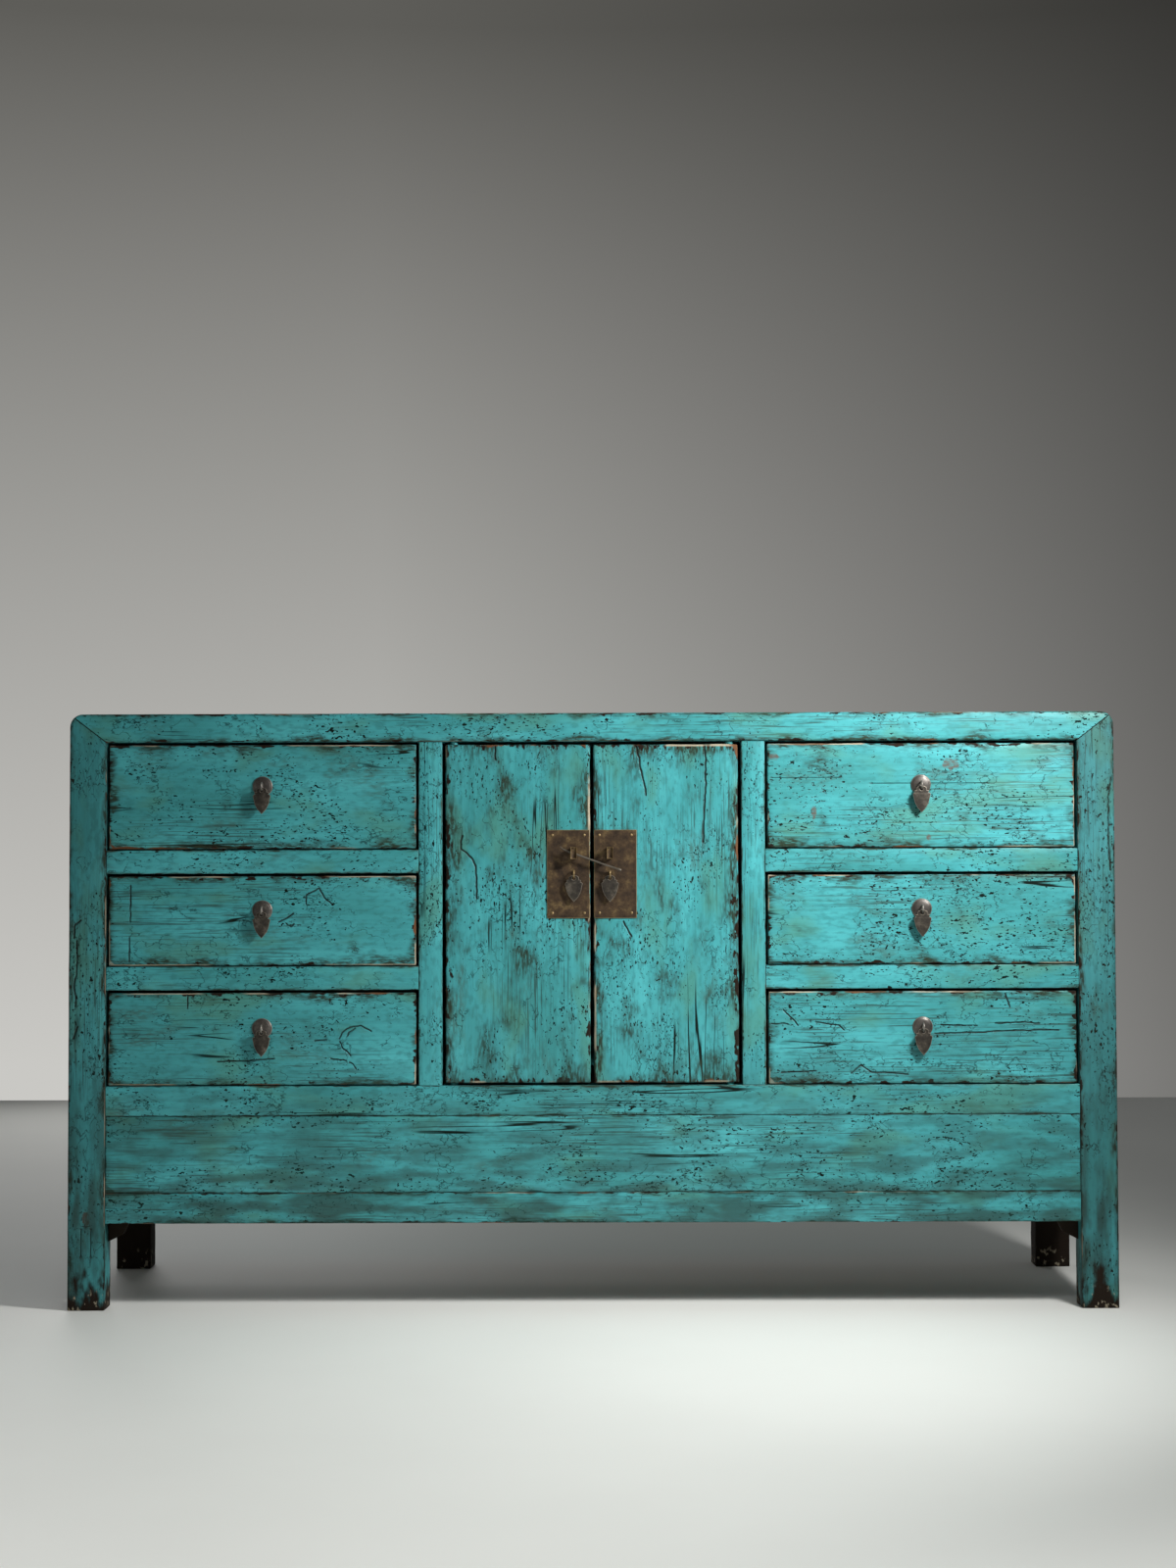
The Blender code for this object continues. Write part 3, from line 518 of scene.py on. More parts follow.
        bared = mask["scar"]
        for mark_name in ("marks", "chip", "rub", "damp_and_shade"):
            bared = add_node(tree, "Math", bared, mask[mark_name], operation="MAXIMUM")
        dull = add_node(tree, "Math", lumps["brush"], 0.5, bared, operation="MULTIPLY_ADD")
        rough = add_node(tree, "MapRange", dull, 0.0, 1.4, 0.34, 0.74)
        dusty = add_node(tree, "Math", bared, mask["soil"], operation="MAXIMUM")
        shine = add_node(tree, "MapRange", dusty, 0.0, 1.0, 0.34, 0.06)
        # Marks and chips are sunk in the coat, whose brush strokes and orange peel stand a little proud
        sunk = mask["marks"]
        for part, share in (
            (mask["lines"], 0.47),
            (mask["chip"], 0.7),
            (lumps["brush"], -0.1),
            (lumps["mottle"], -0.3),
        ):
            sunk = add_node(tree, "Math", part, share, sunk, operation="MULTIPLY_ADD")
        bump = add_node(tree, "Bump", Height=sunk, Strength=0.42, Distance=0.5 * MM, invert=True)
        shader = add_node(
            tree, "BsdfPrincipled", Base_Color=colour, Roughness=rough, Specular_IOR_Level=shine, Normal=bump, IOR=1.52
        )
        add_node(tree, "OutputMaterial", shader)
        return made


@dataclass(frozen=True)
class RawElm:
    """Planed elm left bare inside, browned by age.

    It gives the eye open straight grain in pale and dark bands, with fine dark pores along it.
    """

    pale: str = "#9C7A55"
    dark: str = "#6B4C30"
    pore: str = "#3A281A"

    def make(self, name: str) -> bpy.types.Material:
        """Builds the material.

        Args:
            name: the material's name.

        Returns:
            The wood, which reads the grain attribute of each board.
        """
        made = bpy.data.materials.new(name)
        tree = clear_tree(made)
        grain = add_node(tree, "Attribute", attribute_name="grain").outputs["Vector"]
        # Growth bands 12 mm apart, drawn out along the board
        bands = add_node(tree, "VectorMath", grain, (0.06, 1.0, 1.0), operation="MULTIPLY")
        ring = add_node(tree, "TexNoise", bands, per_metre(12), 4.0)
        colour = add_node(tree, "ValToRGB", ring, stops=[(0.30, linear(self.dark)), (0.66, linear(self.pale))])
        # Pores are finer on real elm; at 1.6 mm they still show
        thin = add_node(tree, "VectorMath", grain, (0.05, 1.0, 1.0), operation="MULTIPLY")
        pores = add_node(tree, "TexNoise", thin, per_metre(1.6), 2.0)
        dots = add_node(tree, "MapRange", pores, 0.60, 0.70, 0.0, 0.8)
        colour = add_node(tree, "Mix", dots, colour, linear(self.pore), data_type="RGBA")
        bump = add_node(tree, "Bump", Height=dots, Strength=0.4, Distance=0.3 * MM, invert=True)
        shader = add_node(tree, "BsdfPrincipled", Base_Color=colour, Normal=bump, Roughness=0.68, IOR=1.5)
        add_node(tree, "OutputMaterial", shader)
        return made


@dataclass(frozen=True)
class OldBrass:
    """Sheet or wrought brass under a century of brown patina.

    It gives the eye a dull brown sheen with olive and rust-brown blotches, brighter where fingers and edges rub;
    that brightness on rims and raised parts is partly a painted highlight.
    """

    dark: str
    middle: str
    light: str
    roughness: float
    metallic: float

    def make(self, name: str) -> bpy.types.Material:
        """Builds the material.

        Args:
            name: the material's name.

        Returns:
            The metal, which reads object coordinates and the edge attribute.
        """
        made = bpy.data.materials.new(name)
        tree = clear_tree(made)
        place = add_node(tree, "TexCoord").outputs["Object"]
        edge = add_node(tree, "Attribute", attribute_name="edge").outputs["Fac"]
        # Blotches of patina 14 mm across and pitting of 2.5 mm
        blotch = add_node(tree, "TexNoise", place, per_metre(14), 6.0, 0.62)
        stops = [(0.34, linear(self.dark)), (0.54, linear(self.middle)), (0.86, linear(self.light))]
        colour = add_node(tree, "ValToRGB", blotch, stops=stops)
        pits = add_node(tree, "TexNoise", place, per_metre(2.5), 3.0)
        deep = add_node(tree, "MapRange", pits, 0.58, 0.70, 0.0, 0.6)
        colour = add_node(tree, "Mix", deep, colour, linear(self.dark), data_type="RGBA")
        # Edges lightened over the last millimetre and a half, as worn brass and partly as a painted highlight
        rub_and_glint = add_node(tree, "MapRange", edge, 1.6 * MM, 0.0, 0.0, 0.8)
        colour = add_node(tree, "Mix", rub_and_glint, colour, linear(self.light), data_type="RGBA")
        rough = add_node(tree, "MapRange", blotch, 0.3, 0.7, self.roughness + 0.14, self.roughness - 0.10)
        bump = add_node(tree, "Bump", Height=pits, Strength=0.25, Distance=0.3 * MM)
        shader = add_node(
            tree, "BsdfPrincipled", Base_Color=colour, Roughness=rough, Normal=bump, Metallic=self.metallic
        )
        add_node(tree, "OutputMaterial", shader)
        return made


@dataclass(frozen=True)
class Palette:
    """The finishes, made once and shared by the pieces that have them."""

    made: dict[Finish, bpy.types.Material]

    @classmethod
    def mix(cls) -> "Palette":
        """Makes every finish.

        Returns:
            The palette that holds them.
        """
        plate = OldBrass("#2E231A", "#4F3E2C", "#9A8359", 0.48, 0.55)
        rose = OldBrass("#262320", "#484440", "#8F8880", 0.42, 0.60)
        pull = OldBrass("#25221E", "#443F38", "#887F72", 0.42, 0.60)
        looks = dict(zip(Finish, (Lacquer(), RawElm(), plate, rose, pull)))
        return cls({finish: look.make(finish.value[1]) for finish, look in looks.items()})

    def dress(self, piece: bpy.types.Object, finish: Finish, body: str, *nodes: str) -> None:
        """Gives a piece its finish, its body and the frame's nodes that it stands for.

        Args:
            piece: the finished mesh object.
            finish: what it is finished with.
            body: the frame's body that it moves with.
            nodes: the frame's nodes that it replaces.
        """
        piece.name = f"skin_{nodes[0] if nodes else piece.name}"
        piece.data.materials.clear()
        piece.data.materials.append(self.made[finish])
        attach(piece, body)
        if nodes:
            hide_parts(*nodes)
        LOG.info("%s: %d faces on %s", piece.name, len(piece.data.polygons), body)


def mark(
    obj: bpy.types.Object,
    low: Vector,
    high: Vector,
    grain: Axis,
    seed: int,
    wear: float = 1.0,
    ends: bool = True,
) -> None:
    """Writes what a finish reads from a board: its grain's own coordinates and the distance to its edges.

    Args:
        obj: the board.
        low: the lowest corner of the plain board that it was made from.
        high: the highest corner.
        grain: the run of the grain.
        seed: moves the pattern so that no two boards share it.
        wear: above 1 widens the wear along the edges.
        ends: if the board's ends are worn too; a jointed end is not.
    """
    mesh = obj.data
    co = np.zeros(len(mesh.vertices) * 3)
    mesh.vertices.foreach_get("co", co)
    co = co.reshape(-1, 3)
    axes = [grain.value] + [i for i in range(3) if i != grain.value]
    shift = np.array(PATTERN_STEP) * (seed + 1)
    lines = mesh.attributes.new("grain", "FLOAT_VECTOR", "POINT")
    lines.data.foreach_set("vector", (co[:, axes] + shift).astype(np.float32).ravel())
    near = axes if ends else axes[1:]
    gaps = np.concatenate([co - np.array(low), np.array(high) - co], axis=1)[:, near + [i + 3 for i in near]]
    nearest = np.sort(np.clip(gaps, 0.0, None), axis=1)[:, 1]
    rim = mesh.attributes.new("edge", "FLOAT", "POINT")
    rim.data.foreach_set("value", (nearest / wear).astype(np.float32))


def write(obj: bpy.types.Object, name: str, value: Callable[[Vector], float]) -> None:
    """Writes a number at each of a piece's vertices, for its finish to read.

    Args:
        obj: the piece.
        name: the attribute's name.
        value: takes a vertex's place and gives its number.
    """
    numbers = np.array([value(vert.co) for vert in obj.data.vertices], np.float32)
    made = obj.data.attributes.get(name) or obj.data.attributes.new(name, "FLOAT", "POINT")
    made.data.foreach_set("value", numbers)


def knock(obj: bpy.types.Object, depth: float, reach: float = 5 * MM) -> None:
    """Wears a board's arrises unevenly and lets its faces wander a little, as hand-planed wood does.

    Args:
        obj: a board that mark() has been through.
        depth: how deep the arrises are worn.
        reach: how far in from the arris the wear goes.
    """
    values = np.zeros(len(obj.data.vertices), np.float32)
    obj.data.attributes["edge"].data.foreach_get("value", values)
    group = obj.vertex_groups.new(name="arris")
    for i, gap in enumerate(values):
        if gap < reach:
            group.add([i], float(1.0 - gap / reach), "REPLACE")
    bpy.ops.object.select_all(action="DESELECT")
    modify(obj, "DISPLACE", texture=clouds("chips", CHIP), strength=-depth, mid_level=0.35, vertex_group="arris")
    modify(obj, "DISPLACE", texture=clouds("planing", PLANE_STROKE), strength=PLANE_WANDER, mid_level=0.5)
    obj.vertex_groups.clear()


@dataclass(frozen=True)
class Crack:
    """A split or a patch's joint in a board's front: a fine groove along one axis."""

    along: Axis
    at: float
    start: float
    end: float
    width: float = 1.8 * MM
    depth: float = 1.6 * MM
    # How near the middle line counts as on it and as dark, how near the front as on the front, and how far below
    # its bottom the crack still holds
    line_touch: ClassVar[float] = 0.05 * MM
    line_dark: ClassVar[float] = 0.25 * MM
    front_touch: ClassVar[float] = 0.3 * MM
    slack: ClassVar[float] = 0.5 * MM

    @property
    def across(self) -> Axis:
        """The axis that the crack opens along."""
        return Axis.Z if self.along is Axis.X else Axis.X

    def holds(self, co: Vector, front: float, margin: float) -> bool:
        """Says if a place on a board's front lies in the crack.

        Args:
            co: the place.
            front: where the board's front is.
            margin: how far from the middle line still counts.

        Returns:
            True inside the crack.
        """
        near = abs(co[self.across.value] - self.at) < margin and co.y - front < self.depth + self.slack
        return near and self.start <= co[self.along.value] <= self.end


@dataclass(frozen=True)
class Scar:
    """A ragged oval where the coat is gone from a board's front, as over a knot."""

    x: float
    z: float
    half_width: float
    half_height: float
    # How far the rim strays, as a share of the oval, and how far across its bays are
    ragged: ClassVar[float] = 0.35
    bay_mm: ClassVar[float] = 7

    def reaches(self, co: Vector, margin: float = 0.0) -> bool:
        """Says if a place lies in the oval.

        Args:
            co: the place.
            margin: how far outside still counts.

        Returns:
            True inside the oval or within the margin.
        """
        across = (co.x - self.x) / (self.half_width + margin)
        up = (co.z - self.z) / (self.half_height + margin)
        return math.hypot(across, up) < 1.0 + self.ragged * noise.noise(co * per_metre(self.bay_mm))


@dataclass(frozen=True)
class Wander:
    """A drying crack that wanders over a board's front through a row of places."""

    path: tuple[tuple[float, float], ...]
    half_width: float
    depth: float = 1.2 * MM
    # How far the line wavers off its places, and how far across its bends are
    waver: float = 1.1 * MM
    bend_mm: ClassVar[float] = 9

    def away(self, co: Vector) -> float:
        """How far a place lies from the crack's line, which wavers a little between its places.

        Args:
            co: the place.

        Returns:
            The distance, measured in the front's plane.
        """
        shaken = co + noise.noise_vector(co * per_metre(self.bend_mm)) * self.waver
        here, gaps = Vector((shaken.x, shaken.z)), []
        for start, end in zip(self.path, self.path[1:]):
            run = Vector(end) - Vector(start)
            share = min(1.0, max(0.0, (here - Vector(start)).dot(run) / run.length_squared))
            gaps.append((here - Vector(start) - run * share).length)
        return min(gaps)

    def darkness(self, co: Vector, front: float) -> float:
        """How dark the crack makes a place: full along its line, and fading out beside it."""
        return min(1.0, 1.5 - self.away(co) / self.half_width) if co.y - front < 2 * self.depth else 0.0


Trace = tuple[tuple[tuple[float, float], ...], ...]


def traced(x: float, z: float, lines: Trace, half_width: float = 1.3 * MM) -> tuple[Wander, ...]:
    """Makes wandering cracks from lines that were traced on a front.

    Args:
        x: the place across the front that the lines are measured from.
        z: the height that they are measured from.
        lines: each crack's places, in millimetres across and up.
        half_width: how far the cracks open to each side.

    Returns:
        The cracks.
    """
    paths = [tuple((x + across * MM, z + up * MM) for across, up in line) for line in lines]
    return tuple(Wander(path, half_width) for path in paths)


@dataclass
class Board:
    """A plain sawn board with subdivided faces and eased, knocked arrises."""

    name: str
    low: Vector
    high: Vector
    grain: Axis
    seed: int
    arris: float = 1.0 * MM
    wear: float = 1.0
    depth: float = 0.8 * MM
    cell: float = 12 * MM
    cracks: tuple[Crack, ...] = ()
    scars: tuple[Scar, ...] = ()
    wanders: tuple[Wander, ...] = ()
    tone: float = 0.0
    ends: bool = True
    smoothing: float = 40.0
    # How many cuts go through each edge beside a wandering crack and beside a scar
    crack_cuts: ClassVar[int] = 8
    scar_cuts: ClassVar[int] = 4

    def block(self) -> bpy.types.Object:
        """Adds the board's plain block.

        Returns:
            The block, its place in its mesh.
        """
        bpy.ops.object.select_all(action="DESELECT")
        middle, size = (self.low + self.high) / 2, self.high - self.low
        bpy.ops.mesh.primitive_cube_add(size=1.0, location=middle)
        obj = bpy.context.object
        obj.name = self.name
        obj.scale = size
        settle(obj)
        return obj

    def divide(self, obj: bpy.types.Object) -> None:
        """Subdivides the block's edges into cells.

        Args:
            obj: the plain block.
        """
        with editing(obj):
            for axis in range(3):
                cuts = int((self.high[axis] - self.low[axis]) / self.cell)
                if cuts > 1:
                    pick(obj, "EDGE", lambda edge, a=axis: runs_along(edge, a))
                    bpy.ops.mesh.subdivide(number_cuts=cuts - 1)

    def ease(self, obj: bpy.types.Object) -> None:
        """Rounds the sharp edges.

        Args:
            obj: the divided block.
        """
        with editing(obj):
            pick(obj, "EDGE", is_sharp)
            bpy.ops.mesh.bevel(offset=self.arris, segments=3, affect="EDGES")

    def shape(self, obj: bpy.types.Object) -> None:
        """Divides the block and rounds its edges."""
        self.divide(obj)
        self.ease(obj)

    def split(self, obj: bpy.types.Object) -> None:
        """Cuts the straight cracks into the front.

        Args:
            obj: the shaped board.
        """
        front = self.low.y
        for crack in self.cracks:
            normal, point = Vector((0.0, 0.0, 0.0)), Vector((0.0, 0.0, 0.0))
            normal[crack.across.value] = 1.0
            point[crack.across.value] = crack.at
            run = crack.along.value

            def on_line(vert: bmesh.types.BMVert, crack: Crack = crack) -> bool:
                """Says if a vertex lies on the crack's middle line."""
                return vert.co.y - front < crack.front_touch and crack.holds(vert.co, front, crack.line_touch)

            with editing(obj):
                pick(obj, "FACE", faces_front)
                bpy.ops.mesh.bisect(plane_co=point, plane_no=normal)
                found = pick(obj, "EDGE", lambda edge: runs_along(edge, run) and all(map(on_line, edge.verts)))
                if found:
                    bpy.ops.mesh.bevel(offset=crack.width / 2, segments=2, affect="EDGES")
                    pick(obj, "VERT", on_line)
                    bpy.ops.transform.translate(value=(0.0, crack.depth, 0.0))

    def refine(self, obj: bpy.types.Object, near: Callable[[Vector], bool], cuts: int) -> None:
        """Divides the front finely round a mark.

        Args:
            obj: the board.
            near: takes a face's middle and says if it lies close to the mark.
            cuts: how many cuts go through each edge.
        """
        coarse = (self.cell / 3) ** 2
        with editing(obj):
            pick(
                obj,
                "FACE",
                lambda face: faces_front(face) and face.calc_area() > coarse and near(face.calc_center_median()),
            )
            bpy.ops.mesh.subdivide(number_cuts=cuts)
            # The faces beside the fine ones get a middle point each, so that none folds over when cut to triangles
            pick(obj, "FACE", lambda face: faces_front(face) and len(face.verts) > 4)
            bpy.ops.mesh.poke()

    def stray(self, obj: bpy.types.Object) -> None:
        """Sinks the cracks that wander over the front.

        Args:
            obj: the shaped board.
        """
        front = self.low.y
        for crack in self.wanders:
            self.refine(obj, lambda co: crack.away(co) < self.cell, self.crack_cuts)
        for crack in self.wanders:
            with editing(obj):
                pick(
                    obj,
                    "VERT",
                    lambda vert: abs(vert.co.y - front) < TOUCH and crack.away(vert.co) < crack.half_width,
                )
                bpy.ops.transform.translate(value=(0.0, crack.depth, 0.0))

    def bare(self, obj: bpy.types.Object) -> None:
        """Divides the front finely round each scar and writes where the coat is gone.

        Args:
            obj: the shaped board.
        """
        for scar in self.scars:
            self.refine(obj, lambda co: scar.reaches(co, self.cell), self.scar_cuts)
        if self.scars:
            write(obj, "scar", lambda co: float(any(scar.reaches(co) for scar in self.scars)))

    def darkness(self, co: Vector) -> float:
        """How dark a place is: the board's own tone, or darker in a crack.

        Args:
            co: the place.

        Returns:
            The darkness, at most 1.
        """
        if any(crack.holds(co, self.low.y, crack.line_dark) for crack in self.cracks):
            return 1.0
        return max([self.tone, *(crack.darkness(co, self.low.y) for crack in self.wanders)])

    def build(self) -> bpy.types.Object:
        """Makes the board.

        Returns:
            The finished mesh, marked for its finish.
        """
        obj = self.block()
        self.shape(obj)
        self.split(obj)
        self.stray(obj)
        self.bare(obj)
        mark(obj, self.low, self.high, self.grain, self.seed, self.wear, self.ends)
        knock(obj, self.depth)
        write(obj, "dark", self.darkness)
        smooth(obj, self.smoothing)
        return obj


@dataclass
class MitredMember(Board):
    """A post or a top rail whose ends are mitred three ways at the round top corners of the case."""

    corners: tuple[tuple[int, int], ...] = ()
    dark_below: float = 0.0
    fade: float = 0.06
    outer_arris: float = 3.5 * MM
    dirt_strip: float = 1.2 * MM
    smoothing: float = 35.0

    def block(self) -> bpy.types.Object:
        """Adds the plain block, run out to the case's corners.

        Returns:
            The block, its place in its mesh.
        """
        self.low, self.high = Vector(self.low), Vector(self.high)
        for side, face in self.corners:
            reach = CASE.corner(side, face)
            for axis in range(3):
                self.low[axis] = min(self.low[axis], reach[axis])
                self.high[axis] = max(self.high[axis], reach[axis])
        return super().block()

    def round_corners(self, obj: bpy.types.Object) -> None:
        """Rounds the case's top corners where this member reaches them.

        Args:
            obj: the plain block.
        """
        limit = CASE.half_width - TOUCH
        with editing(obj):
            if pick(
                obj,
                "EDGE",
                lambda edge: runs_along(edge, 1)
                and all(v.co.z > CASE.height - TOUCH and abs(v.co.x) > limit for v in edge.verts),
            ):
                bpy.ops.mesh.bevel(offset=CORNER_RADIUS, segments=8, affect="EDGES")

    def is_outer(self, vert: bmesh.types.BMVert) -> bool:
        """Says if a vertex lies on an outer arris of the case.

        Args:
            vert: the vertex.

        Returns:
            True where two of the case's outer faces meet.
        """
        x, y, z = vert.co
        outside = (CASE.half_width - abs(x), y - CASE.front, CASE.back - y, CASE.height - z)
        rounded = abs(x) > CASE.half_width - CORNER_RADIUS and z > CASE.height - CORNER_RADIUS
        return sum(gap < TOUCH for gap in outside) + rounded >= 2

    def ease(self, obj: bpy.types.Object) -> None:
        """Rounds the outer arrises more than the inner ones.

        Args:
            obj: the block with its round corners.
        """
        with editing(obj):
            pick(obj, "EDGE", lambda edge: is_sharp(edge) and all(map(self.is_outer, edge.verts)))
            bpy.ops.mesh.bevel(offset=self.outer_arris, segments=4, affect="EDGES")
            pick(obj, "EDGE", lambda edge: edge.calc_face_angle() > SQUARE)
            bpy.ops.mesh.bevel(offset=self.arris, segments=2, affect="EDGES")

    def slice(self, obj: bpy.types.Object) -> None:
        """Cuts the member into cells, so that wear can follow its edges.

        Args:
            obj: the eased member.
        """
        with editing(obj):
            for axis in range(3):
                normal = Vector((0.0, 0.0, 0.0))
                normal[axis] = 1.0
                count = int((self.high[axis] - self.low[axis]) / self.cell)
                for i in range(1, count):
                    bpy.ops.mesh.select_all(action="SELECT")
                    bpy.ops.mesh.bisect(plane_co=self.low.lerp(self.high, i / count), plane_no=normal)

    def planes(self) -> Iterator[tuple[Vector, Vector]]:
        """Gives the planes where three members meet.

        Returns:
            Each plane's point, and its normal into this member.
        """
        keep = self.grain.value
        for side, face in self.corners:
            corner = CASE.corner(side, face)
            inward = [
                Vector((-side / POST_WIDTH, 0.0, 0.0)),
                Vector((0.0, -face / POST_DEPTH, 0.0)),
                Vector((0.0, 0.0, -1 / TOP_RAIL_HEIGHT)),
            ]
            for other in range(3):
                if other != keep:
                    yield corner, (inward[keep] - inward[other]).normalized()

    def mitre(self, obj: bpy.types.Object) -> None:
        """Cuts the ends on the planes where three members meet, with a narrow strip for dirt beside each cut.

        Args:
            obj: the member in its cells.
        """
        for corner, normal in self.planes():
            with editing(obj):
                bpy.ops.mesh.select_all(action="SELECT")
                bpy.ops.mesh.bisect(plane_co=corner + normal * self.dirt_strip, plane_no=normal)
                bpy.ops.mesh.select_all(action="SELECT")
                bpy.ops.mesh.bisect(
                    plane_co=corner + normal * JOINT_GAP, plane_no=normal, use_fill=True, clear_inner=True
                )

    def darkness(self, co: Vector) -> float:
        """How dark a place is: full at a mitre, and rising towards a dark foot, on the back posts partly painted
        shade.

        Args:
            co: the place.

        Returns:
            The darkness, at most 1.
        """
        at_mitre = any((co - corner).dot(normal) < 0.75 * self.dirt_strip for corner, normal in self.planes())
        foot = min(1.0, (self.dark_below - co.z) / self.fade)
        return 1.0 if at_mitre else max(foot, super().darkness(co))

    def shape(self, obj: bpy.types.Object) -> None:
        """Rounds the corners and arrises, cuts the member into cells and mitres its ends.

        Args:
            obj: the plain block.
        """
        self.round_corners(obj)
        self.ease(obj)
        self.slice(obj)
        self.mitre(obj)


@dataclass
class Case:
    """The whole case's sizes, read from the frame."""

    low: Vector = field(default_factory=lambda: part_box("leg_front_left")[0])
    high: Vector = field(default_factory=lambda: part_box("leg_back_right")[1])
    height: float = field(default_factory=lambda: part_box("top_rail_front")[1].z)

    @property
    def half_width(self) -> float:
        """Half the case's width."""
        return self.high.x

    @property
    def front(self) -> float:
        """The front face's place."""
        return self.low.y

    @property
    def back(self) -> float:
        """The back face's place."""
        return self.high.y

    def corner(self, side: int, face: int) -> Vector:
        """The top corner at the left (-1) or right (1) of the front (-1) or back (1)."""
        return Vector((side * self.half_width, self.front if face < 0 else self.back, self.height))


CASE = Case()


def body_box(node: str, inset: Sequence[float]) -> tuple[Vector, Vector]:
    """A member's box without the tenons or tongues at its ends.

    Args:
        node: the frame's node.
        inset: what comes off each end along x, y and z.

    Returns:
        The lowest and highest corners.
    """
    low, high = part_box(node)
    return low + Vector(inset), high - Vector(inset)


@dataclass
class Carcass:
    """The frame of posts and rails, its panels and the boards inside it."""

    palette: Palette
    body: str = "carcass"
    seed: int = 0
    # How dark the posts are on each side, and how far up the back ones are painted black, partly as their own dark
    # wood and partly as painted shade under the case
    post_tone: ClassVar[dict[str, float]] = {"left": 0.28, "right": 0.42}
    back_dark: float = 0.20
    # The patch let into the left foot: its sides from the case's side, its ends from the floor, and its joint's
    # width and depth
    patch: tuple[float, float, float, float] = (21 * MM, 36 * MM, 82 * MM, 127 * MM)
    patch_joint: tuple[float, float] = (2.2 * MM, 1.2 * MM)
    # The cuts that hollow a spandrel: how far each leans aside and up, and how far out of the corner they meet, as a
    # share of the block
    hollow_cuts: tuple[tuple[float, float], ...] = ((0.30, 0.62), (0.45, 0.47), (0.62, 0.30))
    hollow_share: float = 0.42
    # Wandering cracks of the front posts: millimetres from the case's side and up from the floor
    left_post: ClassVar[Trace] = (
        ((19.3, 592), (9.8, 587), (8.2, 566)),
        ((12.8, 562), (13.5, 534), (12.0, 508), (8.6, 496), (11.3, 477), (10.9, 460)),
        ((14.6, 431), (7.3, 412)),
    )
    right_post: ClassVar[Trace] = (
        ((-5.0, 806), (-9.5, 777), (-9.3, 740), (-9.9, 711), (-8.4, 682), (-7.3, 664)),
        ((-9.5, 733), (-4.0, 734)),
        ((-8.2, 677), (-4.0, 676)),
    )

    def place(self, board: Board, *nodes: str, finish: Finish = Finish.LACQUER) -> None:
        """Builds a board and dresses it as one of the carcass's nodes."""
        self.palette.dress(board.build(), finish, self.body, *nodes)

    def next_seed(self) -> int:
        """Gives each board a pattern of its own."""
        self.seed += 1
        return self.seed

    def posts(self) -> None:
        """Builds the four legs, the front left one with its let-in patch."""
        for face_name, face in (("front", -1), ("back", 1)):
            for side_name, side in SIDES.items():
                node = f"leg_{face_name}_{side_name}"
                low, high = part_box(node)
                cracks: tuple[Crack, ...] = ()
                scars: tuple[Scar, ...] = ()
                wanders: tuple[Wander, ...] = ()
                if face < 0 and side < 0:
                    near, far, foot, head = self.patch
                    left, right = low.x + near, low.x + far
                    joints = ((Axis.Z, left, foot, head), (Axis.Z, right, foot, head), (Axis.X, head, left, right))
                    cracks = tuple(Crack(*joint, *self.patch_joint) for joint in joints)
                    scars = (Scar((left + right) / 2, head + 12 * MM, 6 * MM, 11 * MM),)
                    wanders = traced(low.x, 0.0, self.left_post)
                elif face < 0:
                    wanders = traced(high.x, 0.0, self.right_post)
                post = MitredMember(
                    node, low, high, Axis.Z, self.next_seed(), wear=1.1, depth=1.2 * MM, cracks=cracks, scars=scars,
                    wanders=wanders, ends=False, tone=self.post_tone[side_name], corners=((side, face),),
                    dark_below=self.back_dark if face > 0 else 0.0,
                )
                self.place(post, node)

    def top_frame(self) -> None:
        """Builds the mitred top rails and the board that they hold."""
        for name, face in (("front", -1), ("back", 1)):
            node = f"top_rail_{name}"
            low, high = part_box(node)
            ends = ((-1, face), (1, face))
            self.place(
                MitredMember(node, low, high, Axis.X, self.next_seed(), wear=1.2, ends=False, corners=ends), node
            )
        for name, side in SIDES.items():
            node = f"top_rail_{name}"
            low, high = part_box(node)
            ends = ((side, -1), (side, 1))
            self.place(
                MitredMember(node, low, high, Axis.Y, self.next_seed(), wear=0.7, ends=False, corners=ends), node
            )
        low, high = body_box("top_panel", (TONGUE, TONGUE, 0.0))
        self.place(Board("top_panel", low, high, Axis.X, self.next_seed(), wear=0.8), "top_panel")

    def rails(self) -> None:
        """Builds the rails and stiles of the front, the sides and the back."""
        for node in ("waist_rail", "bottom_rail_front", "bottom_rail_back"):
            low, high = body_box(node, (TENON, 0.0, 0.0))
            wear = 0.8 if node == "bottom_rail_front" else 0.4
            self.place(Board(node, low, high, Axis.X, self.next_seed(), wear=wear, ends=False), node)
        for name in SIDES:
            node = f"stile_{name}"
            low, high = body_box(node, (0.0, 0.0, TENON))
            self.place(Board(node, low, high, Axis.Z, self.next_seed(), wear=0.4, ends=False), node)
            node = f"bottom_rail_{name}"
            low, high = body_box(node, (0.0, TENON, 0.0))
            self.place(Board(node, low, high, Axis.Y, self.next_seed(), wear=0.4, ends=False), node)

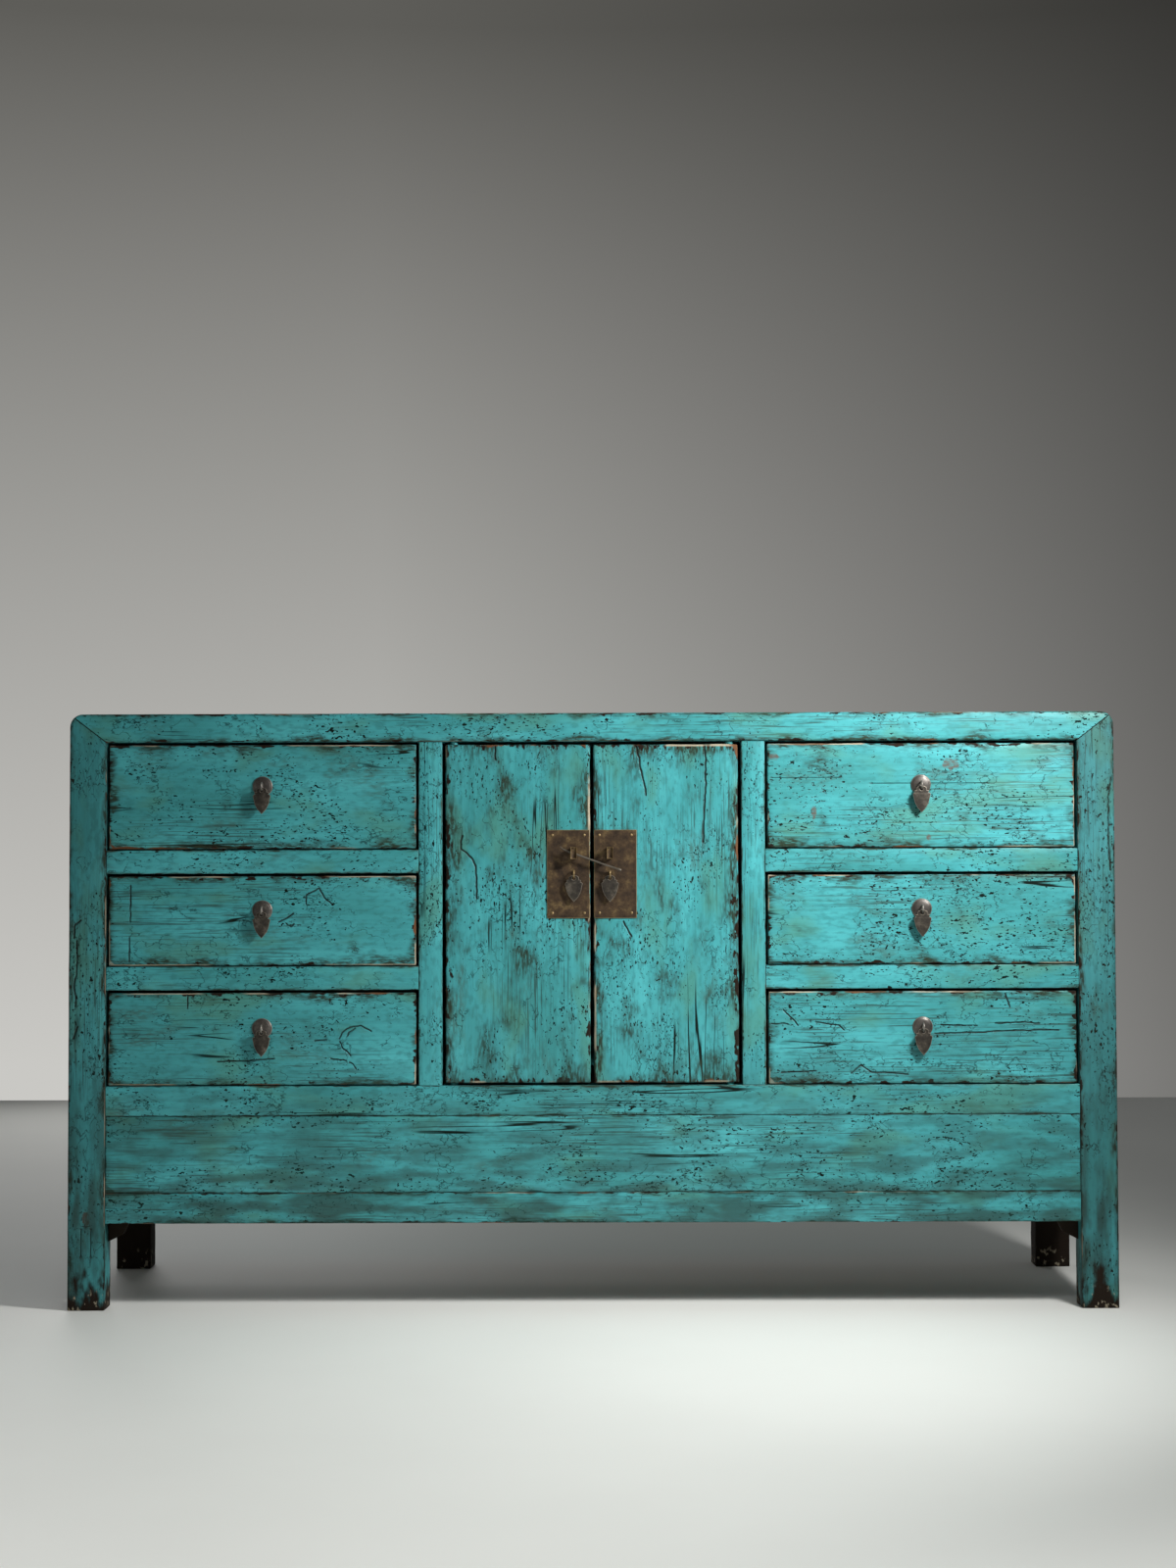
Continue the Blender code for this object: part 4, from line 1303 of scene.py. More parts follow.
    def drawer_rails(self) -> None:
        """Builds each rail between drawers, with its two bare runners."""
        for side in SIDES:
            for level in ("upper", "lower"):
                node = f"drawer_rail_{side}_{level}"
                low, high = body_box(node, (TENON, 0.0, 0.0))
                face_high = Vector((high.x, low.y + POST_DEPTH, high.z))
                self.place(Board(node, low, face_high, Axis.X, self.next_seed(), wear=0.4, ends=False), node)
                runners = []
                for start in (low.x, high.x - RUNNER_WIDTH):
                    runner_low = Vector((start, face_high.y, high.z - RUNNER_HEIGHT))
                    runner_high = Vector((start + RUNNER_WIDTH, high.y, high.z))
                    runner = Board(node, runner_low, runner_high, Axis.Y, self.next_seed(), cell=30 * MM)
                    runners.append(runner.build())
                self.palette.dress(join(runners, f"drawer_runners_{side}_{level}"), Finish.RAW, self.body)

    def panels(self) -> None:
        """Builds the apron, the side and back panels, the floor and the partitions."""
        low, high = body_box("apron_panel", (TONGUE, 0.0, TONGUE))
        self.place(Board("apron_panel", low, high, Axis.X, self.next_seed(), wear=0.35), "apron_panel")
        for name in SIDES:
            node = f"side_panel_{name}"
            low, high = body_box(node, (0.0, TONGUE, TONGUE))
            self.place(Board(node, low, high, Axis.Z, self.next_seed(), cell=16 * MM, wear=1.2), node)
            node = f"partition_{name}"
            low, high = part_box(node)
            top = Vector((high.x, high.y, CASE.height - TOP_RAIL_HEIGHT - JOINT_GAP))
            self.place(Board(node, low, top, Axis.Y, self.next_seed(), cell=40 * MM), node, finish=Finish.RAW)
        low, high = body_box("back_panel", (TONGUE, 0.0, TONGUE))
        self.place(Board("back_panel", low, high, Axis.X, self.next_seed(), cell=20 * MM, wear=1.2), "back_panel")
        low, high = body_box("floor_board", (0.0, TONGUE + JOINT_GAP, 0.0))
        high.y = CASE.back - POST_DEPTH - JOINT_GAP
        self.place(
            Board("floor_board", low, high, Axis.X, self.next_seed(), cell=40 * MM), "floor_board", finish=Finish.RAW
        )

    def spandrels(self) -> None:
        """Builds the small brackets behind the front feet, each a hollowed corner block."""
        for name, side in SIDES.items():
            node = f"spandrel_{name}"
            low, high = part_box(node)
            board = Board(node, low, high, Axis.X, self.next_seed(), cell=4 * MM)
            obj = board.block()
            board.divide(obj)
            corner = Vector((low.x if side > 0 else high.x, 0.0, low.z))
            reach = Vector((side * (high.x - low.x), 0.0, high.z - low.z)) * self.hollow_share
            with editing(obj):
                for aside, up in self.hollow_cuts:
                    normal = Vector((side * aside, 0.0, up))
                    bpy.ops.mesh.select_all(action="SELECT")
                    bpy.ops.mesh.bisect(plane_co=corner + reach, plane_no=normal, use_fill=True, clear_inner=True)
            board.ease(obj)
            mark(obj, low, high, Axis.X, board.seed)
            write(obj, "dark", lambda co: 1.0)
            smooth(obj)
            self.palette.dress(obj, Finish.LACQUER, self.body, node)

    def build(self) -> None:
        """Builds every piece of the carcass."""
        self.posts()
        self.top_frame()
        self.rails()
        self.drawer_rails()
        self.panels()
        self.spandrels()


@dataclass
class Hardware:
    """The small metal forms, each modelled once at the origin and copied to its places."""

    palette: Palette
    # Right half of the leaf: millimetres out from its middle and down from the ring's centre, and the bend there
    outline: tuple[tuple[float, float, str], ...] = (
        (3.4, 2.4, "AUTO"),
        (7.4, 4.8, "AUTO"),
        (7.8, 8.8, "VECTOR"),
        (10.7, 9.4, "AUTO"),
        (10.3, 12.4, "VECTOR"),
        (12.9, 13.6, "AUTO"),
        (12.5, 19.0, "AUTO"),
        (8.4, 32.0, "AUTO"),
    )
    tip: float = 42.8
    hole: float = 2.8
    hole_drop: float = 6.7
    leaf_half: float = 0.65 * MM
    leaf_soft: float = 0.35 * MM
    field_inset: float = 0.55 * MM
    field_rise: float = 0.12 * MM
    field_from: float = 1.05 * MM
    rivet: tuple[float, float, float] = (2.2 * MM, 2.2 * MM, 1.2 * MM)
    # The groove near a rose's rim: shares of the radius, and its depth as a share of the dome
    groove: tuple[float, float] = (0.80, 0.88)
    groove_share: float = 0.12
    eye_wall: float = 4.8 * MM
    pocket_wall: float = 2.0 * MM
    pocket: float = 3.6 * MM
    staple_soft: float = 0.7 * MM
    forms: dict[Form, bpy.types.Object] = field(default_factory=dict)

    def model(self) -> None:
        """Models every form."""
        self.forms = {
            Form.RING: self.ring(),
            Form.LEAF: self.leaf(),
            Form.DOME: self.dome(),
            Form.RIVET: self.half_ball(16, 10, self.rivet),
            Form.STAPLE: self.staple(),
        }

    def ring(self) -> bpy.types.Object:
        """Models the wire ring, standing out from the front.

        Returns:
            The ring's mesh.
        """
        bpy.ops.object.select_all(action="DESELECT")
        bpy.ops.mesh.primitive_torus_add(
            major_radius=RING_RADIUS, minor_radius=RING_WIRE, major_segments=40, minor_segments=12,
            rotation=(0.0, math.pi / 2, 0.0),
        )
        made = bpy.context.object
        settle(made)
        return made

    def leaf(self) -> bpy.types.Object:
        """Models the drop from a flat curve with a hole, its edges softened and its field raised.

        Returns:
            The drop's mesh, hung from the ring's centre.
        """
        bpy.ops.object.select_all(action="DESELECT")
        bpy.ops.curve.primitive_bezier_circle_add(radius=self.hole * MM, location=(0.0, 0.0, 0.0))
        made = bpy.context.object
        curve = made.data
        curve.dimensions = "2D"
        curve.fill_mode = "BOTH"
        curve.resolution_u = 6
        curve.extrude = self.leaf_half
        curve.bevel_depth = self.leaf_soft
        curve.bevel_resolution = 2
        curve.offset = -self.leaf_soft
        for point in curve.splines[0].bezier_points:
            for part in ("co", "handle_left", "handle_right"):
                setattr(point, part, getattr(point, part) + Vector((0.0, -self.hole_drop * MM, 0.0)))
        left = [(-x, y, bend) for x, y, bend in reversed(self.outline)]
        points = [*self.outline, (0.0, self.tip, "VECTOR"), *left]
        leaf = curve.splines.new("BEZIER")
        leaf.use_cyclic_u = True
        leaf.bezier_points.add(len(points) - 1)
        for point, (x, y, bend) in zip(leaf.bezier_points, points):
            point.co = (x * MM, -y * MM, 0.0)
            point.handle_left_type = bend
            point.handle_right_type = bend
        made.rotation_euler = (math.pi / 2, 0.0, 0.0)
        bpy.ops.object.convert(target="MESH")
        made = bpy.context.object
        settle(made)
        with editing(made):
            bpy.ops.mesh.select_all(action="SELECT")
            bpy.ops.mesh.remove_doubles(threshold=WELD)
            bpy.ops.mesh.normals_make_consistent(inside=False)
            pick(made, "FACE", lambda face: abs(face.normal.y) > FLAT)
            bpy.ops.mesh.inset(thickness=self.field_inset, depth=self.field_rise, use_boundary=True)
        return made

    def half_ball(self, segments: int, rings: int, size: tuple[float, float, float]) -> bpy.types.Object:
        """Models a ball cut in half, flat side back and bulging to the front.

        Args:
            segments: how many faces go round it.
            rings: how many go over it.
            size: its radii and its height.

        Returns:
            The half ball's mesh.
        """
        bpy.ops.object.select_all(action="DESELECT")
        bpy.ops.mesh.primitive_uv_sphere_add(segments=segments, ring_count=rings, radius=1.0)
        made = bpy.context.object
        with editing(made):
            bpy.ops.mesh.select_all(action="SELECT")
            bpy.ops.mesh.bisect(plane_co=(0.0, 0.0, 0.0), plane_no=(0.0, 0.0, 1.0), use_fill=True, clear_inner=True)
        made.scale = size
        made.rotation_euler = (math.pi / 2, 0.0, 0.0)
        settle(made)
        return made

    def dome(self) -> bpy.types.Object:
        """Models the rose's dome, with a shallow groove near its rim.

        Returns:
            The dome's mesh.
        """
        made = self.half_ball(48, 24, (ROSE_RADIUS, ROSE_RADIUS, ROSE_DOME))
        start, end = self.groove
        with editing(made):
            pick(made, "VERT", lambda vert: start < vert.co.xz.length / ROSE_RADIUS < end and vert.co.y < -TOUCH)
            bpy.ops.transform.translate(value=(0.0, self.groove_share * ROSE_DOME, 0.0))
        return made

    def staple(self) -> bpy.types.Object:
        """Models the staple that takes the lock pin: a rounded strap with an eye through it and a front pocket.

        Returns:
            The staple's mesh, its foot at the origin.
        """
        bpy.ops.object.select_all(action="DESELECT")
        bpy.ops.mesh.primitive_cube_add(size=1.0, location=(0.0, -STAPLE.y / 2, 0.0))
        made = bpy.context.object
        made.scale = STAPLE
        settle(made)
        front = 1 * MM - STAPLE.y
        with editing(made):
            pick(made, "FACE", lambda face: abs(face.normal.x) > FACING)
            bpy.ops.mesh.inset(thickness=self.eye_wall, use_individual=True)
            bpy.ops.mesh.bridge_edge_loops()
            pick(made, "FACE", lambda face: faces_front(face) and face.calc_center_median().y < front)
            bpy.ops.mesh.inset(thickness=self.pocket_wall)
            bpy.ops.transform.translate(value=(0.0, self.pocket, 0.0))
            pick(made, "EDGE", is_sharp)
            bpy.ops.mesh.bevel(offset=self.staple_soft, segments=3, affect="EDGES")
        return made

    def copy(self, form: Form, place: Vector) -> bpy.types.Object:
        """Copies a form, with a mesh of its own, to its place.

        Args:
            form: what to copy.
            place: where its origin goes.

        Returns:
            The copy, its place in its mesh.
        """
        alone(self.forms[form])
        bpy.ops.object.duplicate(linked=False)
        made = bpy.context.object
        made.location = place
        settle(made)
        return made

    def hang(self, centre: Vector, body: str, node: str) -> None:
        """Hangs and dresses a drop.

        Args:
            centre: the middle of the ring that it hangs on.
            body: the frame's body that it moves with.
            node: the frame's node that it stands for.
        """
        made = self.copy(Form.LEAF, centre)
        low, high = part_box(node)
        mark(made, low, high, Axis.Z, 0)
        # The leaf's rim is lightened, as worn brass and partly as a painted highlight; its raised field keeps its
        # patina
        write(made, "edge", lambda co: 0.0 if abs(co.y - centre.y) < self.field_from else UNBRIGHTENED)
        smooth(made, 24.0)
        self.palette.dress(made, Finish.PULL, body, node)

    def clear(self) -> None:
        """Takes the forms away once every piece has its copy."""
        for form in self.forms.values():
            bpy.data.objects.remove(form)


@dataclass
class Drawer:
    """One drawer: its lacquered front, bare box, rose and drop."""

    palette: Palette
    hardware: Hardware
    side: str
    row: str
    seed: int
    dome_rub_and_glint: float = 1.4 * MM
    # Straight shakes: each one's height as a share of the front's and in millimetres above that, its start and end in
    # millimetres from the left edge, and its width and depth in millimetres
    shakes: ClassVar[dict[str, tuple[tuple[float, ...], ...]]] = {
        "right_top": ((0.615, 0, 160, 340, 1.4, 1.2), (0.615, 9, 4, 110, 1.2, 1.0)),
    }
    # Knots and chips bare of coat: shares of a front's width and height, and half sizes in millimetres
    scars: ClassVar[dict[str, tuple[tuple[float, float, float, float], ...]]] = {
        "right_top": ((0.598, 0.80, 11, 9), (0.152, 0.34, 4, 9), (0.023, 0.87, 7, 6), (0.525, 0.09, 4, 4)),
    }
    # Wandering cracks and scratches of the fronts: millimetres from the left edge and from the top
    cracks: ClassVar[dict[str, Trace]] = {
        "left_middle": (
            ((33.5, -14), (33.0, -70)),
            ((32.0, -94), (31.4, -130)),
            ((302, -43), (302, -29), (311.5, -23), (322, -18.4), (328.6, -32), (341, -43)),
            ((260, -70), (272.7, -64), (282, -57)),
            ((271, -72), (279, -77.5), (283.6, -73.5)),
        ),
        "left_bottom": (
            ((121.4, -3), (121, -24)),
            ((167, -104.6), (215, -103), (254, -100)),
            ((352, -70), (357, -60.6), (369.4, -52), (385, -50.4), (402, -59)),
            ((363, -70), (367.8, -60.6), (377, -54)),
            ((353.8, -75), (357, -83), (364.7, -89), (369.4, -96)),
            ((315, -73.4), (333.6, -71.8)),
            ((340, -100.5), (358.5, -102), (374, -108.5), (378.7, -116.4)),
        ),
        "right_bottom": (
            ((22, -28), (34.5, -39.5), (45.4, -52)),
            ((4.7, -49), (31.3, -49.3)),
            ((254, -64), (320, -63), (379, -60.3), (442, -59.3)),
            ((263, -51.3), (318, -52.6)),
            ((72, -46.8), (106.5, -51.3), (114.4, -58.7)),
            ((125.3, -124.5), (141, -113), (156.7, -123), (211.5, -126)),
            ((18.8, -123), (72, -121.3)),
            ((362, -4), (368, -25)),
            ((346, -49), (391.6, -47.5), (413.6, -50)),
        ),
    }

    @property
    def tag(self) -> str:
        """The drawer's place, as the frame names it."""
        return f"{self.side}_{self.row}"

    def front(self) -> None:
        """Builds the front board with its shakes, scars and wandering cracks."""
        node = f"drawer_front_{self.tag}"
        low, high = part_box(node)
        wide, tall = high.x - low.x, high.z - low.z
        cracks = tuple(
            Crack(Axis.X, low.z + up * tall + rise * MM, low.x + start * MM, low.x + end * MM, gape * MM, deep * MM)
            for up, rise, start, end, gape, deep in self.shakes.get(self.tag, ())
        )
        scars = tuple(
            Scar(low.x + across * wide, low.z + up * tall, half_width * MM, half_height * MM)
            for across, up, half_width, half_height in self.scars.get(self.tag, ())
        )
        board = Board(
            node, low, high, Axis.X, self.seed, arris=1.8 * MM, wear=1.8, depth=2.2 * MM, cell=9 * MM,
            cracks=cracks, scars=scars, wanders=traced(low.x, high.z, self.cracks.get(self.tag, ()), 1.0 * MM),
        )
        self.palette.dress(board.build(), Finish.LACQUER, f"drawer_{self.tag}", node)

    def box(self) -> None:
        """Builds the box from two sides, a back and a raised bottom."""
        node = f"drawer_box_{self.tag}"
        low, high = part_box(node)
        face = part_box(f"drawer_front_{self.tag}")[1].y
        lift = BOX_BOTTOM
        plans = {
            "near": (low, Vector((low.x + BOX_WALL, high.y, high.z)), Axis.Y),
            "far": (Vector((high.x - BOX_WALL, low.y, low.z)), high, Axis.Y),
            "back": (
                Vector((low.x + BOX_WALL, high.y - BOX_WALL, low.z + lift + BOX_BOTTOM)),
                Vector((high.x - BOX_WALL, high.y, high.z)),
                Axis.X,
            ),
            "bottom": (
                Vector((low.x + BOX_WALL, face, low.z + lift)),
                Vector((high.x - BOX_WALL, high.y, low.z + lift + BOX_BOTTOM)),
                Axis.X,
            ),
        }
        made = []
        for i, (start, end, grain) in enumerate(plans.values()):
            start, end = Vector(start), Vector(end)
            start.y = max(start.y, face)
            board = Board(node, start, end, grain, self.seed * 7 + i, 0.8 * MM, depth=0.5 * MM, cell=30 * MM)
            made.append(board.build())
        self.palette.dress(join(made, node), Finish.RAW, f"drawer_{self.tag}", node)

    def rose(self) -> Vector:
        """Builds the domed rose with its ring.

        Returns:
            The ring's centre.
        """
        node = f"pull_rose_{self.tag}"
        low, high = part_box(node)
        face, middle = high.y, (low + high) / 2
        centre = Vector((middle.x, low.y + RING_RADIUS + RING_WIRE, middle.z))
        dome = self.hardware.copy(Form.DOME, Vector((middle.x, face, middle.z)))
        made = join([dome, self.hardware.copy(Form.RING, centre)], node)
        mark(made, low, high, Axis.Z, self.seed)

        def gap(co: Vector) -> float:
            """The edge distance: none on the ring and the dome's rim, worn bright and partly a painted highlight."""
            return 0.0 if co.y < face - ROSE_DOME or (co - middle).xz.length > ROSE_RIM else self.dome_rub_and_glint

        write(made, "edge", gap)
        smooth(made, 50.0)
        self.palette.dress(made, Finish.ROSE, f"drawer_{self.tag}", node)
        return centre

    def build(self) -> None:
        """Builds every piece of the drawer."""
        self.front()
        self.box()
        self.hardware.hang(self.rose(), f"drop_{self.tag}", f"pull_drop_{self.tag}")


@dataclass
class Door:
    """One plank door with its lock plate, staple and drop."""

    palette: Palette
    hardware: Hardware
    side: str
    seed: int
    pivot_radius: float = 5.9 * MM
    pivot_inset: float = 13 * MM
    pivot_arris: float = 0.8 * MM
    sheet_arris: float = 0.35 * MM
    sheet_rim: float = 0.8 * MM
    rivet_inset: float = 8 * MM
    staple_rise: float = 32 * MM
    ring_stand: float = 6 * MM
    lock_inset: float = 8.4 * MM
    # Rubbed bright and partly a painted highlight, which the finish reads as a short edge distance: the sheet's rim
    # and whatever stands out of the sheet. The slot inside the staple's wall keeps its patina
    rim_rub_and_glint: float = 0.7 * MM
    rub_and_glint_stand_out: float = 0.3 * MM
    rub_and_glint_gap: float = 0.2 * MM
    slot_wall: float = 1.5 * MM
    # Wandering cracks of each plank: millimetres from its left edge and from its top
    cracks: ClassVar[dict[str, Trace]] = {
        "left": (
            ((26.0, -140), (23.2, -150), (24.0, -160), (33.3, -167), (42.0, -176), (46.6, -188), (48.1, -235)),
            ((76.6, -3), (76.4, -23)),
        ),
        "right": (
            ((66.0, -4), (69.7, -20), (72.8, -39), (77.6, -58), (80.8, -78)),
            ((171.0, -4), (172.0, -23), (172.0, -64), (169.4, -112), (167.8, -150)),
            ((45.3, -271), (50.7, -281), (57.6, -294)),
        ),
    }

    @property
    def body(self) -> str:
        """The frame's body that the door moves with."""
        return f"door_{self.side}"

    def plank(self) -> None:
        """Builds the plank with its cracks and its pivots."""
        node = f"door_{self.side}"
        low, high = body_box(node, (0.0, 0.0, PIVOT_REACH))
        board = Board(
            node, low, high, Axis.Z, self.seed, arris=2.6 * MM, wear=3.0, depth=2.4 * MM, cell=9 * MM,
            wanders=traced(low.x, high.z, self.cracks[self.side]),
        )
        plank = board.build()
        side = SIDES[self.side]
        hinge = (high.x if side > 0 else low.x) - side * self.pivot_inset
        pins = [plank]
        for z in (low.z - PIVOT_REACH / 2, high.z + PIVOT_REACH / 2):
            bpy.ops.object.select_all(action="DESELECT")
            bpy.ops.mesh.primitive_cylinder_add(
                vertices=24, radius=self.pivot_radius, depth=PIVOT_REACH, location=(hinge, (low.y + high.y) / 2, z)
            )
            pin = bpy.context.object
            settle(pin)
            with editing(pin):
                pick(pin, "EDGE", lambda edge: edge.calc_face_angle() > SQUARE)
                bpy.ops.mesh.bevel(offset=self.pivot_arris, segments=2, affect="EDGES")
            mark(pin, low, high, Axis.Z, self.seed)
            pins.append(pin)
        self.palette.dress(join(pins, node), Finish.LACQUER, self.body, node)

    def plate(self) -> Vector:
        """Builds the lock plate with its rivets, staple and ring.

        Returns:
            The ring's centre.
        """
        node = f"lock_plate_{self.side}"
        low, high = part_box(node)
        sheet_low = Vector((low.x, high.y - PLATE_THICKNESS, low.z))
        sheet = Board(node, sheet_low, high, Axis.Z, self.seed, self.sheet_arris, cell=5 * MM)
        obj = sheet.block()
        sheet.shape(obj)
        with editing(obj):
            pick(obj, "FACE", lambda face: face.normal.y < -FLAT)
            bpy.ops.mesh.inset(thickness=self.sheet_rim)
        middle = (low + high) / 2
        lock_x = middle.x - SIDES[self.side] * self.lock_inset
        parts = [obj]
        for x in (low.x + self.rivet_inset, high.x - self.rivet_inset):
            for z in (low.z + self.rivet_inset, high.z - self.rivet_inset):
                parts.append(self.hardware.copy(Form.RIVET, Vector((x, sheet_low.y, z))))
        staple_at = Vector((lock_x, sheet_low.y, middle.z + self.staple_rise))
        parts.append(self.hardware.copy(Form.STAPLE, staple_at))
        centre = Vector((lock_x, sheet_low.y - self.ring_stand, middle.z))
        parts.append(self.hardware.copy(Form.RING, centre))
        made = join(parts, node)
        mark(made, sheet_low, high, Axis.Z, self.seed)
        reach = (high - low) / 2 - Vector((self.rim_rub_and_glint, 0.0, self.rim_rub_and_glint))
        slot = STAPLE / 2 - Vector((self.slot_wall, 0.0, self.slot_wall))

        def gap(co: Vector) -> float:
            """The edge distance: short on the sheet's rim and what stands out of it, but not in the staple's slot.

            Args:
                co: a vertex's place.

            Returns:
                The distance that the finish reads.
            """
            rim, hole = co - middle, co - staple_at
            in_slot = abs(hole.x) < slot.x and abs(hole.z) < slot.z
            out = co.y < sheet_low.y - self.rub_and_glint_stand_out or abs(rim.x) > reach.x or abs(rim.z) > reach.z
            return self.rub_and_glint_gap if out and not in_slot else UNBRIGHTENED

        write(made, "edge", gap)
        modify(made, "DISPLACE", texture=clouds("beaten", HAMMER_MARK), strength=HAMMER_WANDER, mid_level=0.5)
        smooth(made, 50.0)
        self.palette.dress(made, Finish.PLATE, self.body, node)
        return centre

    def build(self) -> None:
        """Builds every piece of the door."""
        self.plank()
        self.hardware.hang(self.plate(), f"door_drop_{self.side}", f"door_drop_{self.side}")


@dataclass
class LockPin:
    """The wrought pin, loose in the left staple, with a thin turned-up tail and a bulb at its tip."""

    palette: Palette
    tilt: float = math.radians(19.6)
    tip_inset: float = 1.0 * MM
    eye_to_tip: float = 76.0 * MM
    eye_rise: float = 0.6 * MM
    rub: float = 0.9 * MM
    # Millimetres along the pin from the eye, out of its line, and its radius there
    stations: tuple[tuple[float, float, float], ...] = (
        (-23.6, 3.2, 0.5),
        (-19.0, 1.2, 0.8),
        (-13.0, 0.2, 1.3),
        (-6.0, 0.0, 1.7),
        (0.0, 0.0, 1.7),
        (30.0, 0.0, 1.55),
        (69.0, 0.0, 1.4),
        (71.5, 0.0, 1.9),
        (74.0, 0.0, 2.3),
        (76.0, 0.0, 1.7),
        (76.9, 0.0, 0.7),
    )

    def build(self) -> None:
        """Builds the pin as a tapered wire."""
        low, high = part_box("lock_pin")
        along = Vector((math.cos(self.tilt), 0.0, -math.sin(self.tilt)))
        up = Vector((math.sin(self.tilt), 0.0, math.cos(self.tilt)))
        tip = Vector((high.x, (low.y + high.y) / 2, low.z)) - along * self.tip_inset
        eye = tip - along * self.eye_to_tip + up * self.eye_rise
        bpy.ops.object.select_all(action="DESELECT")
        bpy.ops.curve.primitive_nurbs_path_add(location=(0.0, 0.0, 0.0))
        made = bpy.context.object
        made.name = "lock_pin"
        curve = made.data
        curve.splines.clear()
        line = curve.splines.new("POLY")
        line.points.add(len(self.stations) - 1)
        for point, (run, rise, radius) in zip(line.points, self.stations):
            point.co = (*(eye + along * run * MM + up * rise * MM), 1.0)
            point.radius = radius
        curve.bevel_depth = 1.0 * MM
        curve.bevel_resolution = 5
        curve.use_fill_caps = True
        bpy.ops.object.convert(target="MESH")
        made = bpy.context.object
        with editing(made):
            bpy.ops.mesh.select_all(action="SELECT")
            bpy.ops.mesh.remove_doubles(threshold=WELD)
            bpy.ops.mesh.normals_make_consistent(inside=False)
        mark(made, low, high, Axis.X, 5)
        write(made, "edge", lambda co: self.rub)
        smooth(made, 60.0)
        self.palette.dress(made, Finish.PULL, "lock_pin", "lock_pin")


@dataclass(frozen=True)
class Lamp:
    """One square soft lamp, with its side in metres, its power in watts and its spread in degrees."""

    name: str
    place: tuple[float, float, float]
    target: tuple[float, float, float]
    size: float
    power: float
    spread: float = 180.0

    def build(self) -> None:
        """Adds the lamp, turned to its target and hidden from the camera."""
        bpy.ops.object.light_add(type="AREA", location=self.place)
        made = bpy.context.object
        made.name = self.name
        made.data.size = self.size
        made.data.energy = self.power
        made.data.spread = math.radians(self.spread)
        made.visible_camera = False
        made.rotation_euler = (Vector(self.target) - Vector(self.place)).to_track_quat("-Z", "Y").to_euler()


